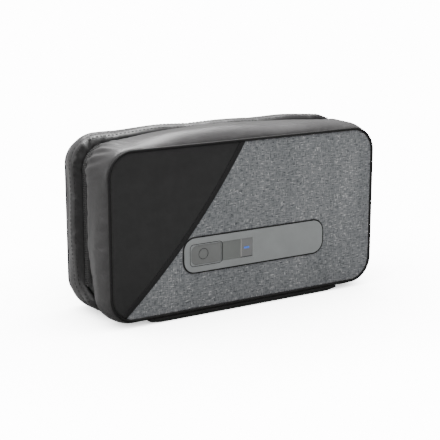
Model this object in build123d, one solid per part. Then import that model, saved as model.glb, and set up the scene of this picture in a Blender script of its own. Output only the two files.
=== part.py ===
"""Pouch with an ultraviolet lamp for clearing germs from a phone and keys.

Millimetres. X runs along the front, Y from the front to the back, Z up.
The origin lies on the floor, under the middle of the pouch.

The pouch stands on its base. A zipper parts it into a deep front half, which
carries the lamp unit, and a shallow back half, which swings back about the
lower back edge. Each half is a stiffened panel with a puffed side wall.
"""

import os

from build123d import *

# Pouch, measured over its seams
seam_length = 216.4
seam_height = 115.1
corner_radius = 17.5
base_drop = 5.0
front_depth = 37.5
back_depth = 28.5

# Layers of a panel, from the outside in
cover_thickness = 0.8
board_thickness = 1.6
lining_thickness = 0.4

# Small spaces: between layers that are laid together, and between bodies
laid_gap = 0.05
running_gap = 0.3

# Piped seam round each panel, with its welt sewn in between panel and wall
piping_radius = 0.8
welt_thickness = 0.8

# Puffed side wall of each half
gusset_wall = 2.0
gusset_bulge = 4.3
gusset_rise = 9.0
rise_round = 30.0
lip_round = 3.2
valley_half_width = 4.8

# Base strip between the side walls' ends
base_half_length = 79.0
base_roll = 3.6
base_round = 4.0
base_lining_margin = 5.5

# Slanting joint between the two front fabrics, placed from the left end of the lamp unit
slant_low_left = 51.6
slant_middle_right = 0.1
slant_middle_rise = 11.05
slant_top_right = 49.5
slant_low_overrun = 1.0
slant_top_overrun = 2.7
trim_width = 3.8
trim_thickness = 0.5

# Zipper
tape_thickness = 0.6
tape_sink = 2.6
tape_reach = 10.0
tape_edge = 0.9
coil_width = 2.55
coil_height = 1.7
coil_half_gap = 0.45
chain_end_height = 25.0
stop_length = 2.0
stop_extra_height = 0.4

# Zipper slider
slider_length = 10.5
slider_tail_width = 7.8
slider_plate = 1.0
slider_flange = 0.7
slider_corner = 1.2
slider_edge = 0.5
post_length = 3.0
post_fit = 0.1
bridge_length = 6.4
bridge_width = 2.4
bridge_rise = 2.7
bridge_wall = 0.85
bridge_draft = 0.6

# Pull tab, which hangs from the slider's bridge
pull_length = 22.0
pull_width = 5.6
pull_thickness = 1.4
pull_corner = 2.2
pull_bar_radius = 0.75
pull_bar_play = 0.25
pull_window_length = 4.3
pull_slot_length = 8.0
pull_slot_width = 2.4
pull_slot_from_tip = 2.6

# Lamp unit in the front panel: bezel
module_x = 5.35
module_z = 43.85
module_length = 116.5
module_height = 24.1
module_corner = 8.5
bezel_proud = 0.6
bezel_wall = 2.0
bezel_edge = 0.4
bezel_gap = 0.4
cutout_inset = 2.25
skirt_gap = 0.65
skirt_wall = 1.4
skirt_depth = 3.6

# Controls in the bezel, from left to right: key, dark inlay, lens
control_margin = 5.4
control_height = 13.7
control_corner = 4.5
control_recess = 0.3
key_length = 24.2
inlay_length = 16.0
lens_length = 9.7
control_joint = 0.15
inlay_thickness = 1.0

# Power key and its switch
key_travel = 0.5
key_play = 0.1
key_side_gap = 0.2
key_flange = 0.7
key_flange_thickness = 0.8
mark_inset = 9.9
mark_radius = 3.7
mark_line = 0.4
mark_depth = 0.15
plunger_radius = 1.5
plunger_fit = 0.05
plunger_reach = 0.6
plunger_length = 2.0
switch_side = 6.0
switch_corner = 0.6
switch_height = 3.1

# Light bar that shows through the lens
bar_length = 4.3
bar_height = 2.1
bar_inset = 5.0
indicator_size = (2.0, 1.25, 0.8)

# Circuit board and battery
board_edge_gap = 0.4
pcb_thickness = 1.2
cell_height = 14.0
cell_thickness = 4.4
cell_clearance = 0.8
cell_screw_gap = 1.15
cell_bar_gap = 5.15
cell_corner = 2.0

# Lamp strip and the windows in front of its light emitters
emitter_count = 4
emitter_margin = 10.0
emitter_side = 3.5
emitter_height = 1.2
emitter_clearance = 0.2
strip_socket_gap = 3.72
strip_height = 5.6
strip_thickness = 1.0
window_radius = 3.5
window_thickness = 1.0
window_fit = 0.1
window_bore = 2.5
connector_length = 8.0
connector_width = 4.0
connector_height = 2.2

# Housing behind the lamp unit, inside the pouch
housing_inset = 1.0
housing_wall = 1.6
flange_margin = 3.0
flange_thickness = 1.6
rib_thickness = 1.2

# Four screws that draw the housing to the bezel
screw_from_key = 7.15
screw_from_end = 14.25
screw_rise = 5.2
screw_radius = 1.0
screw_core_radius = 0.85
screw_hole_radius = 1.2
screw_head_radius = 1.8
screw_head_height = 1.3
screw_head_seat = 2.0
screw_bite = 4.2
boss_radius = 2.2

# Charging socket in the housing's end
socket_width = 8.94
socket_height = 3.26
socket_length = 7.35
socket_wall = 0.35
socket_fit = 0.18
socket_corner = 1.6
socket_tongue = (6.2, 6.7, 0.7)
socket_tongue_sink = 1.0

# Switch that cuts the lamp when the pouch opens, its ribbon cable and magnet
sensor_size = (12.0, 8.0, 3.0)
sensor_corner = 1.0
sensor_from_lip = 9.0
ribbon_width = 4.0
ribbon_thickness = 0.5
ribbon_bend = 3.0
magnet_radius = 2.5
magnet_thickness = 2.0

# Places that follow from the sizes above
seam_depth = front_depth + back_depth
front_seam = -seam_depth / 2
parting = front_seam + front_depth
seam_bottom = base_drop
seam_top = seam_bottom + seam_height
seam_middle = (seam_bottom + seam_top) / 2
half_length = seam_length / 2
welt_half = welt_thickness / 2
wall_start = welt_half + laid_gap + gusset_wall
wall_front = piping_radius + 2 * laid_gap
stack_depth = cover_thickness + board_thickness
lining_front = stack_depth + laid_gap
lining_back = lining_front + lining_thickness
wall_lining = gusset_wall + laid_gap + lining_thickness
coil_top = coil_height - tape_sink

# Depths behind the front seam, through the lamp unit
bezel_front = -bezel_proud
bezel_back = bezel_front + bezel_wall
control_front = bezel_front + control_recess
inlay_back = control_front + inlay_thickness
pcb_front = bezel_back + cell_clearance + cell_thickness
pcb_back = pcb_front + pcb_thickness
strip_front = pcb_back + connector_height
strip_back = strip_front + strip_thickness
housing_inside = strip_back + emitter_height + emitter_clearance
housing_back = housing_inside + housing_wall
key_flange_front = bezel_back + key_play
key_flange_back = key_flange_front + key_flange_thickness
switch_front = pcb_front - switch_height
plunger_front = switch_front - plunger_reach

# Cut-out for the lamp unit and the housing behind it
cutout_length = module_length - 2 * cutout_inset
cutout_height = module_height - 2 * cutout_inset
cutout_corner = module_corner - cutout_inset
housing_length = module_length - 2 * housing_inset
housing_height = module_height - 2 * housing_inset
housing_corner = module_corner - housing_inset
housing_end = module_x + housing_length / 2
module_left = module_x - module_length / 2

# Places along the controls
control_left = module_left + control_margin
key_right = control_left + key_length
inlay_right = key_right + inlay_length
control_right = inlay_right + lens_length
mark_x = control_left + mark_inset
bar_x = inlay_right + bar_inset

# Three points of the slanting joint, which runs past the panel at both ends
slant_low = (module_left - slant_low_left, seam_bottom - slant_low_overrun)
slant_middle = (module_left + slant_middle_right, module_z + slant_middle_rise)
slant_top = (module_left + slant_top_right, seam_top + slant_top_overrun)

# Places along the circuit board and the lamp strip
left_screw_x = key_right + screw_from_key
right_screw_x = housing_end - screw_from_end
cell_left = bar_x + bar_length / 2 + cell_bar_gap
cell_right = right_screw_x - boss_radius - cell_screw_gap
cell_length = cell_right - cell_left
socket_mouth = housing_end - socket_fit
strip_right = socket_mouth - socket_length - strip_socket_gap
strip_length = 2 * (strip_right - module_x)
emitter_pitch = (strip_length - 2 * emitter_margin) / (emitter_count - 1)


def seam_outline(spread):
    """Rounded outline of the seam in X and Z, grown by spread."""
    length = seam_length + 2 * spread
    height = seam_height + 2 * spread
    return Pos(0, seam_middle) * RectangleRounded(length, height, corner_radius + spread)


def layer(outline, near, far):
    """Flat piece of an outline drawn in X and Z, between two depths behind the front seam."""
    return Pos(0, front_seam + far, 0) * extrude(Plane.XZ * outline, far - near)


def seam_point(x, z):
    """Point of the front seam's plane."""
    return (x, front_seam, z)


def side_path():
    """Seam line from one end of the base, up, over the top and down to the other."""
    start = base_half_length + running_gap
    return FilletPolyline(
        seam_point(-start, seam_bottom),
        seam_point(-half_length, seam_bottom),
        seam_point(-half_length, seam_top),
        seam_point(half_length, seam_top),
        seam_point(half_length, seam_bottom),
        seam_point(start, seam_bottom),
        radius=corner_radius,
    )


def chain_path():
    """Seam line between the two low ends of the zipper chain."""
    return FilletPolyline(
        seam_point(-half_length, chain_end_height),
        seam_point(-half_length, seam_top),
        seam_point(half_length, seam_top),
        seam_point(half_length, chain_end_height),
        radius=corner_radius,
    )


def closed_path():
    """Seam line all the way round."""
    return FilletPolyline(
        seam_point(-half_length, seam_bottom),
        seam_point(-half_length, seam_top),
        seam_point(half_length, seam_top),
        seam_point(half_length, seam_bottom),
        radius=corner_radius,
        close=True,
    )


def run_round(section, path):
    """Section swept along a seam line. Its X points out of the pouch and its Y to the back."""
    along = path % 0
    outward = Vector(0, 1, 0).cross(-along)
    start = Plane(origin=path @ 0, x_dir=outward, z_dir=-along)
    return sweep(start * section, path=path)


def strip_section(low, high, near, far):
    """Rectangle of a swept section, from low to high outward and near to far in depth."""
    return Pos((low + high) / 2, (near + far) / 2) * Rectangle(high - low, far - near)


# Soft shell: the same pieces make both halves, each with its own depth


def wall_curve(depth):
    """Outer line of the puffed wall, from the seam over the lip down to the tape."""
    valley = depth - valley_half_width
    return FilletPolyline(
        (wall_start, wall_front),
        (gusset_bulge, gusset_rise),
        (gusset_bulge, valley),
        (laid_gap - tape_sink, valley),
        radius=[rise_round, lip_round],
    )


def wall_band(curve, thickness):
    """Band of the given thickness on the inner side of a wall's outer line."""
    return make_face(offset(curve, amount=thickness, side=Side.LEFT, closed=True))


def gusset(depth):
    """Puffed side wall, open at the base."""
    return run_round(wall_band(wall_curve(depth), gusset_wall), side_path())


def lining(depth):
    """Reflective lining: a tray that covers the board and the inside of the wall."""
    curve = wall_curve(depth)
    band = wall_band(curve, wall_lining) - wall_band(curve, gusset_wall + laid_gap)
    behind_board = strip_section(-2 * gusset_bulge, 2 * gusset_bulge, lining_front, depth)
    sides = run_round(band & behind_board, side_path())
    flat = layer(seam_outline(welt_half), lining_front, lining_back)
    return flat + sides


def piping():
    """Corded edge round a panel, with the welt that is sewn into the seam."""
    cord = Circle(piping_radius)
    welt = strip_section(-welt_half, welt_half, 0, stack_depth)
    return run_round(cord + welt, closed_path())


def zipper_tape(depth):
    """Woven tape along the parting line, sewn under the wall's lip."""
    section = strip_section(
        -tape_sink - tape_thickness, -tape_sink, depth - tape_reach, depth - tape_edge
    )
    return run_round(section, side_path())


def zipper_coil(depth):
    """One row of the coil on its tape, with a raised stop at each low end."""
    near = depth - coil_half_gap - coil_width
    far = depth - coil_half_gap
    low = laid_gap - tape_sink
    row = run_round(strip_section(low, coil_top, near, far), chain_path())
    height = coil_height + stop_extra_height
    for side in (-1, 1):
        stop = Box(height, coil_width, stop_length, align=(Align.MIN, Align.MIN, Align.MAX))
        if side < 0:
            stop = mirror(stop, about=Plane.YZ)
        place = (side * (half_length + low), front_seam + near, chain_end_height)
        row += Pos(*place) * stop
    return row


def to_back(piece):
    """Piece of the back half, mirrored from the same piece built at the front."""
    return mirror(piece, about=Plane.XZ)


# Panels


def cover_outline():
    """Outline of a panel's cover, inside the cord."""
    return seam_outline(-piping_radius - laid_gap)


def board_outline():
    """Outline of a panel's board, inside the welt."""
    return seam_outline(-welt_half - laid_gap)


def slant_line():
    """Gently curved joint between the black corner and the heather fabric."""
    return ThreePointArc(slant_low, slant_middle, slant_top)


def corner_region():
    """Everything to the upper left of the slanting joint."""
    far_left = -seam_length
    far_top = slant_top[1] + base_drop
    border = Polyline(
        slant_top,
        (slant_top[0], far_top),
        (far_left, far_top),
        (far_left, slant_low[1]),
        slant_low,
    )
    return make_face(slant_line() + border)


def module_outline(length, height, corner):
    """Rounded rectangle about the lamp unit's middle."""
    return Pos(module_x, module_z) * RectangleRounded(length, height, corner)


def bezel_hole():
    """Cut in the cover round the bezel, with the narrow dark gap that shows."""
    return module_outline(
        module_length + 2 * bezel_gap, module_height + 2 * bezel_gap, module_corner + bezel_gap
    )


def front_panel_corner():
    """Smooth black fabric at the upper left."""
    return layer(cover_outline() & corner_region(), 0, cover_thickness)


def front_panel_melange():
    """Heather fabric at the lower right, cut out for the bezel."""
    return layer(cover_outline() - corner_region() - bezel_hole(), 0, cover_thickness)


def diagonal_trim():
    """Flat band over the joint between the two fabrics."""
    band = make_face(offset(slant_line(), amount=trim_width / 2, side=Side.BOTH))
    return layer(cover_outline() & band, -trim_thickness, 0)


def unit_cutout():
    """Opening in board and lining that the lamp unit passes through."""
    return module_outline(cutout_length, cutout_height, cutout_corner)


def front_stiffener():
    """Board that keeps the front panel flat and carries the lamp unit."""
    return layer(board_outline() - unit_cutout(), cover_thickness, stack_depth)


def front_lining():
    """Lining of the front half, cut out for the lamp unit."""
    return lining(front_depth) - layer(unit_cutout(), 0, front_depth / 2)


def back_panel():
    """Plain heather fabric of the back."""
    return to_back(layer(cover_outline(), 0, cover_thickness))


def back_stiffener():
    """Board behind the back fabric."""
    return to_back(layer(board_outline(), cover_thickness, stack_depth))


# Base


def base_strip(outer_drop, thickness, front_inset, back_inset):
    """Strip under the pouch whose edges roll up to the front and back seams."""
    curve = FilletPolyline(
        (outer_drop(front_inset), front_inset),
        (base_drop, front_inset + base_roll),
        (base_drop, seam_depth - back_inset - base_roll),
        (outer_drop(back_inset), seam_depth - back_inset),
        radius=base_round,
    )
    section = make_face(offset(curve, amount=thickness, side=Side.LEFT, closed=True))
    end = Plane(
        origin=(-base_half_length, front_seam, seam_bottom), x_dir=(0, 0, -1), z_dir=(1, 0, 0)
    )
    return extrude(end * section, 2 * base_half_length)


def bottom_gusset():
    """Base fabric, which the pouch stands on. Its back edge clears the half that swings."""
    back_inset = wall_front + running_gap
    return base_strip(
        lambda inset: wall_start + inset - wall_front, gusset_wall, wall_front, back_inset
    )


def bottom_lining():
    """Lining laid flat on the base fabric."""
    depth = seam_depth - 2 * base_lining_margin
    height = gusset_wall + laid_gap
    sheet = Box(2 * base_half_length, depth, lining_thickness, align=(Align.CENTER,) * 3)
    return Pos(0, 0, height + lining_thickness / 2) * sheet


# Lamp unit


def control_outline(left, right, grow, rounded_left=False):
    """Part of the control strip, grown by grow, with round corners at its left end or not."""
    length = right - left + 2 * grow
    height = control_height + 2 * grow
    outline = Pos((left + right) / 2, module_z) * Rectangle(length, height)
    if rounded_left:
        corners = outline.vertices().group_by(Axis.X)[0]
        outline = fillet(corners, control_corner + grow)
    return outline


def screw_places():
    """The four screws' places in X and Z."""
    for x in (left_screw_x, right_screw_x):
        for z in (-screw_rise, screw_rise):
            yield x, module_z + z


def discs(places, radius):
    """Sketch of equal circles."""
    return Sketch() + [Pos(x, z) * Circle(radius) for x, z in places]


def module_bezel():
    """Face of the lamp unit, with a flange on the board and a skirt through it."""
    plate = layer(
        module_outline(module_length, module_height, module_corner), bezel_front, cover_thickness
    )
    rim = plate.faces().sort_by(Axis.Y)[0].outer_wire().edges()
    plate = fillet(rim, bezel_edge)
    skirt_length = cutout_length - 2 * skirt_gap
    skirt_height = cutout_height - 2 * skirt_gap
    outer = module_outline(skirt_length, skirt_height, cutout_corner - skirt_gap)
    inner = module_outline(
        skirt_length - 2 * skirt_wall,
        skirt_height - 2 * skirt_wall,
        cutout_corner - skirt_gap - skirt_wall,
    )
    wall = layer(outer, cover_thickness, bezel_back)
    skirt = layer(outer - inner, cover_thickness, bezel_back + skirt_depth)
    bosses = layer(discs(screw_places(), boss_radius), bezel_back, pcb_front)
    bezel = plate + wall + skirt + bosses
    key_hole = control_outline(control_left, key_right, 0, rounded_left=True)
    bar_hole = Pos(bar_x, module_z) * Rectangle(bar_length + 2 * control_joint, bar_height)
    pocket = control_outline(key_right + control_joint, control_right, 0)
    cores = discs(screw_places(), screw_core_radius)
    bezel -= layer(key_hole, bezel_front, bezel_back)
    bezel -= layer(pocket, bezel_front, inlay_back)
    bezel -= layer(bar_hole, bezel_front, bezel_back)
    bezel -= layer(cores, pcb_front - screw_bite, pcb_front)
    return bezel


def control_inlay():
    """Dark plain tile between the key and the lens."""
    outline = control_outline(key_right + 2 * control_joint, inlay_right, 0)
    return layer(outline, control_front, inlay_back)


def light_bar_outline():
    """Face of the light bar."""
    return Pos(bar_x, module_z) * Rectangle(bar_length, bar_height)


def indicator_lens():
    """Clear tile at the right of the controls, with a hole for the light bar."""
    outline = control_outline(inlay_right + control_joint, control_right - control_joint, 0)
    return layer(outline - light_bar_outline(), control_front, inlay_back)


def light_bar():
    """Light guide from the small lamp on the circuit board to the face of the lens."""
    return layer(light_bar_outline(), control_front, pcb_front - indicator_size[2] - laid_gap)


def indicator_led():
    """Small lamp on the circuit board under the light bar."""
    outline = Pos(bar_x, module_z) * Rectangle(indicator_size[0], indicator_size[1])
    return layer(outline, pcb_front - indicator_size[2], pcb_front)


def power_key():
    """Key with a ring mark, a flange that holds it behind the bezel, and a stem."""
    cap_outline = control_outline(control_left, key_right, -key_side_gap, rounded_left=True)
    flange_outline = control_outline(control_left, key_right, key_flange, rounded_left=True)
    mark_place = Pos(mark_x, module_z)
    mark = mark_place * (Circle(mark_radius) - Circle(mark_radius - mark_line))
    cap = layer(cap_outline, control_front, key_flange_back)
    flange = layer(flange_outline, key_flange_front, key_flange_back)
    stem = layer(mark_place * Circle(plunger_radius), key_flange_back, plunger_front)
    groove = layer(mark, control_front, control_front + mark_depth)
    return cap + flange + stem - groove


def switch_plunger():
    """Plunger of the switch, pushed by the key's stem."""
    outline = Pos(mark_x, module_z) * Circle(plunger_radius)
    return layer(outline, plunger_front, plunger_front + plunger_length)


def tactile_switch():
    """Switch body on the circuit board, with the bore that its plunger runs in."""
    place = Pos(mark_x, module_z)
    outline = place * RectangleRounded(switch_side, switch_side, switch_corner)
    body = layer(outline, switch_front, pcb_front)
    bore_depth = plunger_front + plunger_length + key_travel + running_gap
    bore = layer(place * Circle(plunger_radius + plunger_fit), switch_front, bore_depth)
    return body - bore


def pcb_outline():
    """Outline of the main circuit board, just inside the housing."""
    return module_outline(
        housing_length - 2 * housing_wall - 2 * board_edge_gap,
        housing_height - 2 * housing_wall - 2 * board_edge_gap,
        housing_corner - housing_wall - board_edge_gap,
    )


def main_pcb():
    """Main circuit board, clamped between the bosses of bezel and housing."""
    outline = pcb_outline() - discs(screw_places(), screw_hole_radius)
    return layer(outline, pcb_front, pcb_back)


def battery_cell():
    """Flat battery stuck to the front of the circuit board."""
    middle = (cell_left + cell_right) / 2
    outline = Pos(middle, module_z) * RectangleRounded(cell_length, cell_height, cell_corner)
    return layer(outline, pcb_front - cell_thickness, pcb_front)


def emitter_places():
    """Places of the light emitters and their windows, in X and Z."""
    for i in range(emitter_count):
        yield module_x + (i - (emitter_count - 1) / 2) * emitter_pitch, module_z


def uv_lamp_strip():
    """Narrow circuit strip that carries the emitters."""
    outline = Pos(module_x, module_z) * Rectangle(strip_length, strip_height)
    return layer(outline, strip_front, strip_back)


def uv_emitters():
    """Ultraviolet emitters that face the inside of the pouch."""
    square = Rectangle(emitter_side, emitter_side)
    outlines = Sketch() + [Pos(x, z) * square for x, z in emitter_places()]
    return layer(outlines, strip_back, strip_back + emitter_height)


def uv_windows():
    """Quartz discs over the emitters, seated flush in the housing's wall."""
    outlines = discs(emitter_places(), window_radius)
    return layer(outlines, housing_back - window_thickness, housing_back)


def strip_connector():
    """Block that joins the lamp strip to the main circuit board."""
    place = Pos(module_x + emitter_pitch, module_z)
    return layer(place * Rectangle(connector_length, connector_width), pcb_back, strip_front)


def socket_middle_depth():
    """Depth of the charging socket's middle, on the back of the circuit board."""
    return pcb_back + socket_height / 2


def socket_shape(grow, length, mouth):
    """Rounded bar along X of the charging socket's section, ending at mouth."""
    width = socket_width + 2 * grow
    height = socket_height + 2 * grow
    section = RectangleRounded(height, width, socket_corner + grow)
    end = Plane(
        origin=(mouth, front_seam + socket_middle_depth(), module_z),
        x_dir=(0, 1, 0),
        z_dir=(1, 0, 0),
    )
    return extrude(end * section, -length)


def module_rear_housing():
    """Housing inside the pouch, clamped to the lining by its flange."""
    outer = module_outline(housing_length, housing_height, housing_corner)
    inner = module_outline(
        housing_length - 2 * housing_wall,
        housing_height - 2 * housing_wall,
        housing_corner - housing_wall,
    )
    flange_outline = module_outline(
        housing_length + 2 * flange_margin,
        housing_height + 2 * flange_margin,
        housing_corner + flange_margin,
    )
    shell = layer(outer, lining_back, housing_back)
    rim = shell.faces().sort_by(Axis.Y)[-1].outer_wire().edges()
    shell = fillet(rim, housing_wall / 2)
    shell += layer(flange_outline, lining_back, lining_back + flange_thickness)
    shell -= layer(inner, lining_back, housing_inside)
    shell += layer(discs(screw_places(), boss_radius), pcb_back, housing_inside)
    for i in (-1, 0, 1):
        rib = Pos(module_x + i * emitter_pitch, module_z) * Rectangle(rib_thickness, strip_height)
        shell += layer(rib, strip_back, housing_inside)
    shell -= layer(discs(screw_places(), screw_hole_radius), pcb_back, housing_back)
    head_seat = housing_back - screw_head_height - laid_gap
    shell -= layer(discs(screw_places(), screw_head_seat), head_seat, housing_back)
    window_seat = housing_back - window_thickness
    shell -= layer(discs(emitter_places(), window_radius + window_fit), window_seat, housing_back)
    shell -= layer(discs(emitter_places(), window_bore), housing_inside, housing_back)
    shell -= socket_shape(socket_fit, socket_length + housing_wall, housing_end + housing_wall)
    return shell


def housing_screws():
    """Screws from inside the pouch, through housing and board into the bezel."""
    head_back = housing_back - laid_gap
    head_front = head_back - screw_head_height
    heads = layer(discs(screw_places(), screw_head_radius), head_front, head_back)
    shanks = layer(discs(screw_places(), screw_radius), pcb_front - screw_bite, head_front)
    return heads + shanks


def charging_socket():
    """Charging socket on the circuit board, open through the housing's right end."""
    shell = socket_shape(0, socket_length, socket_mouth)
    shell -= socket_shape(-socket_wall, socket_length - 2 * socket_wall, socket_mouth)
    length, width, height = socket_tongue
    tongue = Box(length, height, width, align=(Align.MAX, Align.CENTER, Align.CENTER))
    tip = Pos(socket_mouth - socket_tongue_sink, front_seam + socket_middle_depth(), module_z)
    return shell + tip * tongue


# Lid switch


def lining_ceiling():
    """Height of the top lining's inner face."""
    return seam_top + gusset_bulge - wall_lining


def lid_sensor():
    """Magnetic switch under the top lining of the front half."""
    length, width, height = sensor_size
    body = Box(length, width, height, align=(Align.CENTER, Align.MAX, Align.MAX))
    edge = parting - sensor_from_lip
    body = fillet(body.edges().filter_by(Axis.Z), sensor_corner)
    return Pos(0, edge, lining_ceiling() - laid_gap) * body


def sensor_ribbon():
    """Flat cable from the housing's flange up the lining and along the top to the switch."""
    start_z = module_z + housing_height / 2 + flange_margin
    run_y = front_seam + lining_back + laid_gap + ribbon_thickness / 2
    run_z = lining_ceiling() - laid_gap - sensor_size[2] + ribbon_thickness
    end_y = parting - sensor_from_lip - sensor_size[1]
    path = FilletPolyline(
        (0, run_y, start_z), (0, run_y, run_z), (0, end_y, run_z), radius=ribbon_bend
    )
    start = Plane(origin=path @ 0, x_dir=(1, 0, 0), z_dir=path % 0)
    return sweep(start * Rectangle(ribbon_width, ribbon_thickness), path=path)


def lid_magnet():
    """Magnet under the top lining of the back half, in the middle of its level stretch."""
    disc = Cylinder(magnet_radius, magnet_thickness, align=(Align.CENTER, Align.CENTER, Align.MAX))
    level_front = parting + valley_half_width
    level_back = front_seam + seam_depth - gusset_rise
    return Pos(0, (level_front + level_back) / 2, lining_ceiling() - laid_gap) * disc


# Zipper slider and pull tab, built with X out of the pouch, Y across and Z along the chain


def channel_half_width():
    """Half the inner width of the slider's channel."""
    return coil_half_gap + coil_width + running_gap


def slider_height():
    """Height of the slider's middle when the pouch is closed."""
    return chain_end_height + running_gap + slider_length / 2


def slider_top():
    """Outer face of the slider's outer plate."""
    return coil_top + running_gap + slider_plate


def at_slider(piece):
    """Piece of the slider moved to its closed place on the right side."""
    return Pos(half_length, parting, slider_height()) * piece


def along_chain(outline, low, high):
    """Piece of an outline drawn across and along the chain, between two heights outward."""
    return Pos(low, 0, 0) * extrude(Plane.YZ * outline, high - low)


def slider_outline():
    """Shield shape of the slider's plates, widest at the end where the rows part."""
    head = channel_half_width() + slider_flange
    tail = slider_tail_width / 2
    half = slider_length / 2
    right = [(head, -half), (head, 0), (tail, half)]
    left = [(-y, z) for y, z in reversed(right)]
    shape = Polygon(*right, *left, align=None)
    ends = shape.vertices().group_by(Axis.Y)
    return fillet(ends[0] + ends[-1], slider_corner)


def bridge_loop(length, rise, base, rounding):
    """Side view of a rounded arch on the outer plate, drawn outward and along the chain."""
    half = length / 2
    arch = FilletPolyline(
        (base, -half),
        (base + rise, bridge_draft - half),
        (base + rise, half - bridge_draft),
        (base, half),
        radius=rounding,
    )
    return make_face(arch + Line((base, half), (base, -half)))


def zipper_slider():
    """Slider with two plates, flanges, the post that parts the rows, and a bridge."""
    outline = slider_outline()
    channel = Rectangle(2 * channel_half_width(), 2 * slider_length)
    tape_back = -tape_sink - tape_thickness - running_gap
    tape_front = -tape_sink + running_gap
    inside = coil_top + running_gap
    outer_plate = along_chain(outline, inside, slider_top())
    rim = outer_plate.faces().sort_by(Axis.X)[-1].edges()
    outer_plate = fillet(rim, slider_edge)
    inner_plate = along_chain(outline, tape_back - slider_plate, tape_back)
    flanges = along_chain(outline - channel, tape_front, inside)
    post_width = 2 * (coil_half_gap - post_fit)
    post_place = Pos(0, (post_length - slider_length) / 2 + post_width) * Rot(0, 0, 90)
    post = along_chain(post_place * SlotOverall(post_length, post_width), tape_back, inside)
    arch = bridge_loop(bridge_length, bridge_rise, slider_top(), bridge_wall)
    eye = bridge_loop(
        bridge_length - 2 * bridge_wall, bridge_rise - bridge_wall, slider_top(), bridge_wall / 2
    )
    bridge = Pos(0, bridge_width / 2, 0) * extrude(Plane.XZ * (arch - eye), bridge_width)
    return at_slider(outer_plate + inner_plate + flanges + post + bridge)


def pull_bar_place():
    """Distance of the pull tab's bar from the seam line, outward."""
    return slider_top() + pull_bar_play + pull_bar_radius


def pull_tab():
    """Flat tab with a round bar under the slider's bridge and a window for the bridge."""
    plate = Pos(0, -pull_length / 2) * Rectangle(pull_width, pull_length)
    low_corners = plate.vertices().group_by(Axis.Y)[0]
    plate = fillet(low_corners, pull_corner)
    window_width = bridge_width + 2 * running_gap
    window = Pos(0, -pull_window_length / 2) * Rectangle(window_width, pull_window_length)
    slot_middle = pull_slot_from_tip + pull_slot_length / 2 - pull_length
    slot = Pos(0, slot_middle) * Rot(0, 0, 90) * SlotOverall(pull_slot_length, pull_slot_width)
    middle = pull_bar_place()
    low = middle - pull_thickness / 2
    tab = along_chain(plate - window - slot, low, low + pull_thickness)
    bar = Pos(middle, 0, 0) * Rot(90, 0, 0) * Cylinder(pull_bar_radius, pull_width)
    return at_slider(tab + bar)


PIECES = {
    "front_panel_corner": front_panel_corner,
    "front_panel_melange": front_panel_melange,
    "diagonal_trim": diagonal_trim,
    "front_stiffener": front_stiffener,
    "front_lining": front_lining,
    "front_gusset": lambda: gusset(front_depth),
    "front_piping": piping,
    "front_zipper_tape": lambda: zipper_tape(front_depth),
    "front_zipper_coil": lambda: zipper_coil(front_depth),
    "bottom_gusset": bottom_gusset,
    "bottom_lining": bottom_lining,
    "back_panel": back_panel,
    "back_stiffener": back_stiffener,
    "back_lining": lambda: to_back(lining(back_depth)),
    "back_gusset": lambda: to_back(gusset(back_depth)),
    "back_piping": lambda: to_back(piping()),
    "back_zipper_tape": lambda: to_back(zipper_tape(back_depth)),
    "back_zipper_coil": lambda: to_back(zipper_coil(back_depth)),
    "module_bezel": module_bezel,
    "control_inlay": control_inlay,
    "indicator_lens": indicator_lens,
    "light_bar": light_bar,
    "indicator_led": indicator_led,
    "power_key": power_key,
    "switch_plunger": switch_plunger,
    "tactile_switch": tactile_switch,
    "main_pcb": main_pcb,
    "battery_cell": battery_cell,
    "uv_lamp_strip": uv_lamp_strip,
    "uv_emitters": uv_emitters,
    "uv_windows": uv_windows,
    "strip_connector": strip_connector,
    "module_rear_housing": module_rear_housing,
    "housing_screws": housing_screws,
    "charging_socket": charging_socket,
    "lid_sensor": lid_sensor,
    "sensor_ribbon": sensor_ribbon,
    "lid_magnet": lid_magnet,
    "zipper_slider": zipper_slider,
    "pull_tab": pull_tab,
}

os.makedirs("parts", exist_ok=True)
for name, make in PIECES.items():
    piece = make()
    export_step(piece, f"parts/{name}.step")
    size = piece.bounding_box().size
    print(f"{name}: {size.X:.1f} x {size.Y:.1f} x {size.Z:.1f}")
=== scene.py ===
# %% [markdown]
# # A puffed fabric pouch with a lamp unit
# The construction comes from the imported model, and this lesson dresses it: soft walls, woven panels,
# a zipper with real teeth, and finishes for every hard piece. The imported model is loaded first,
# because each fabric piece takes its size and place from the solid that it stands for.

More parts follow.
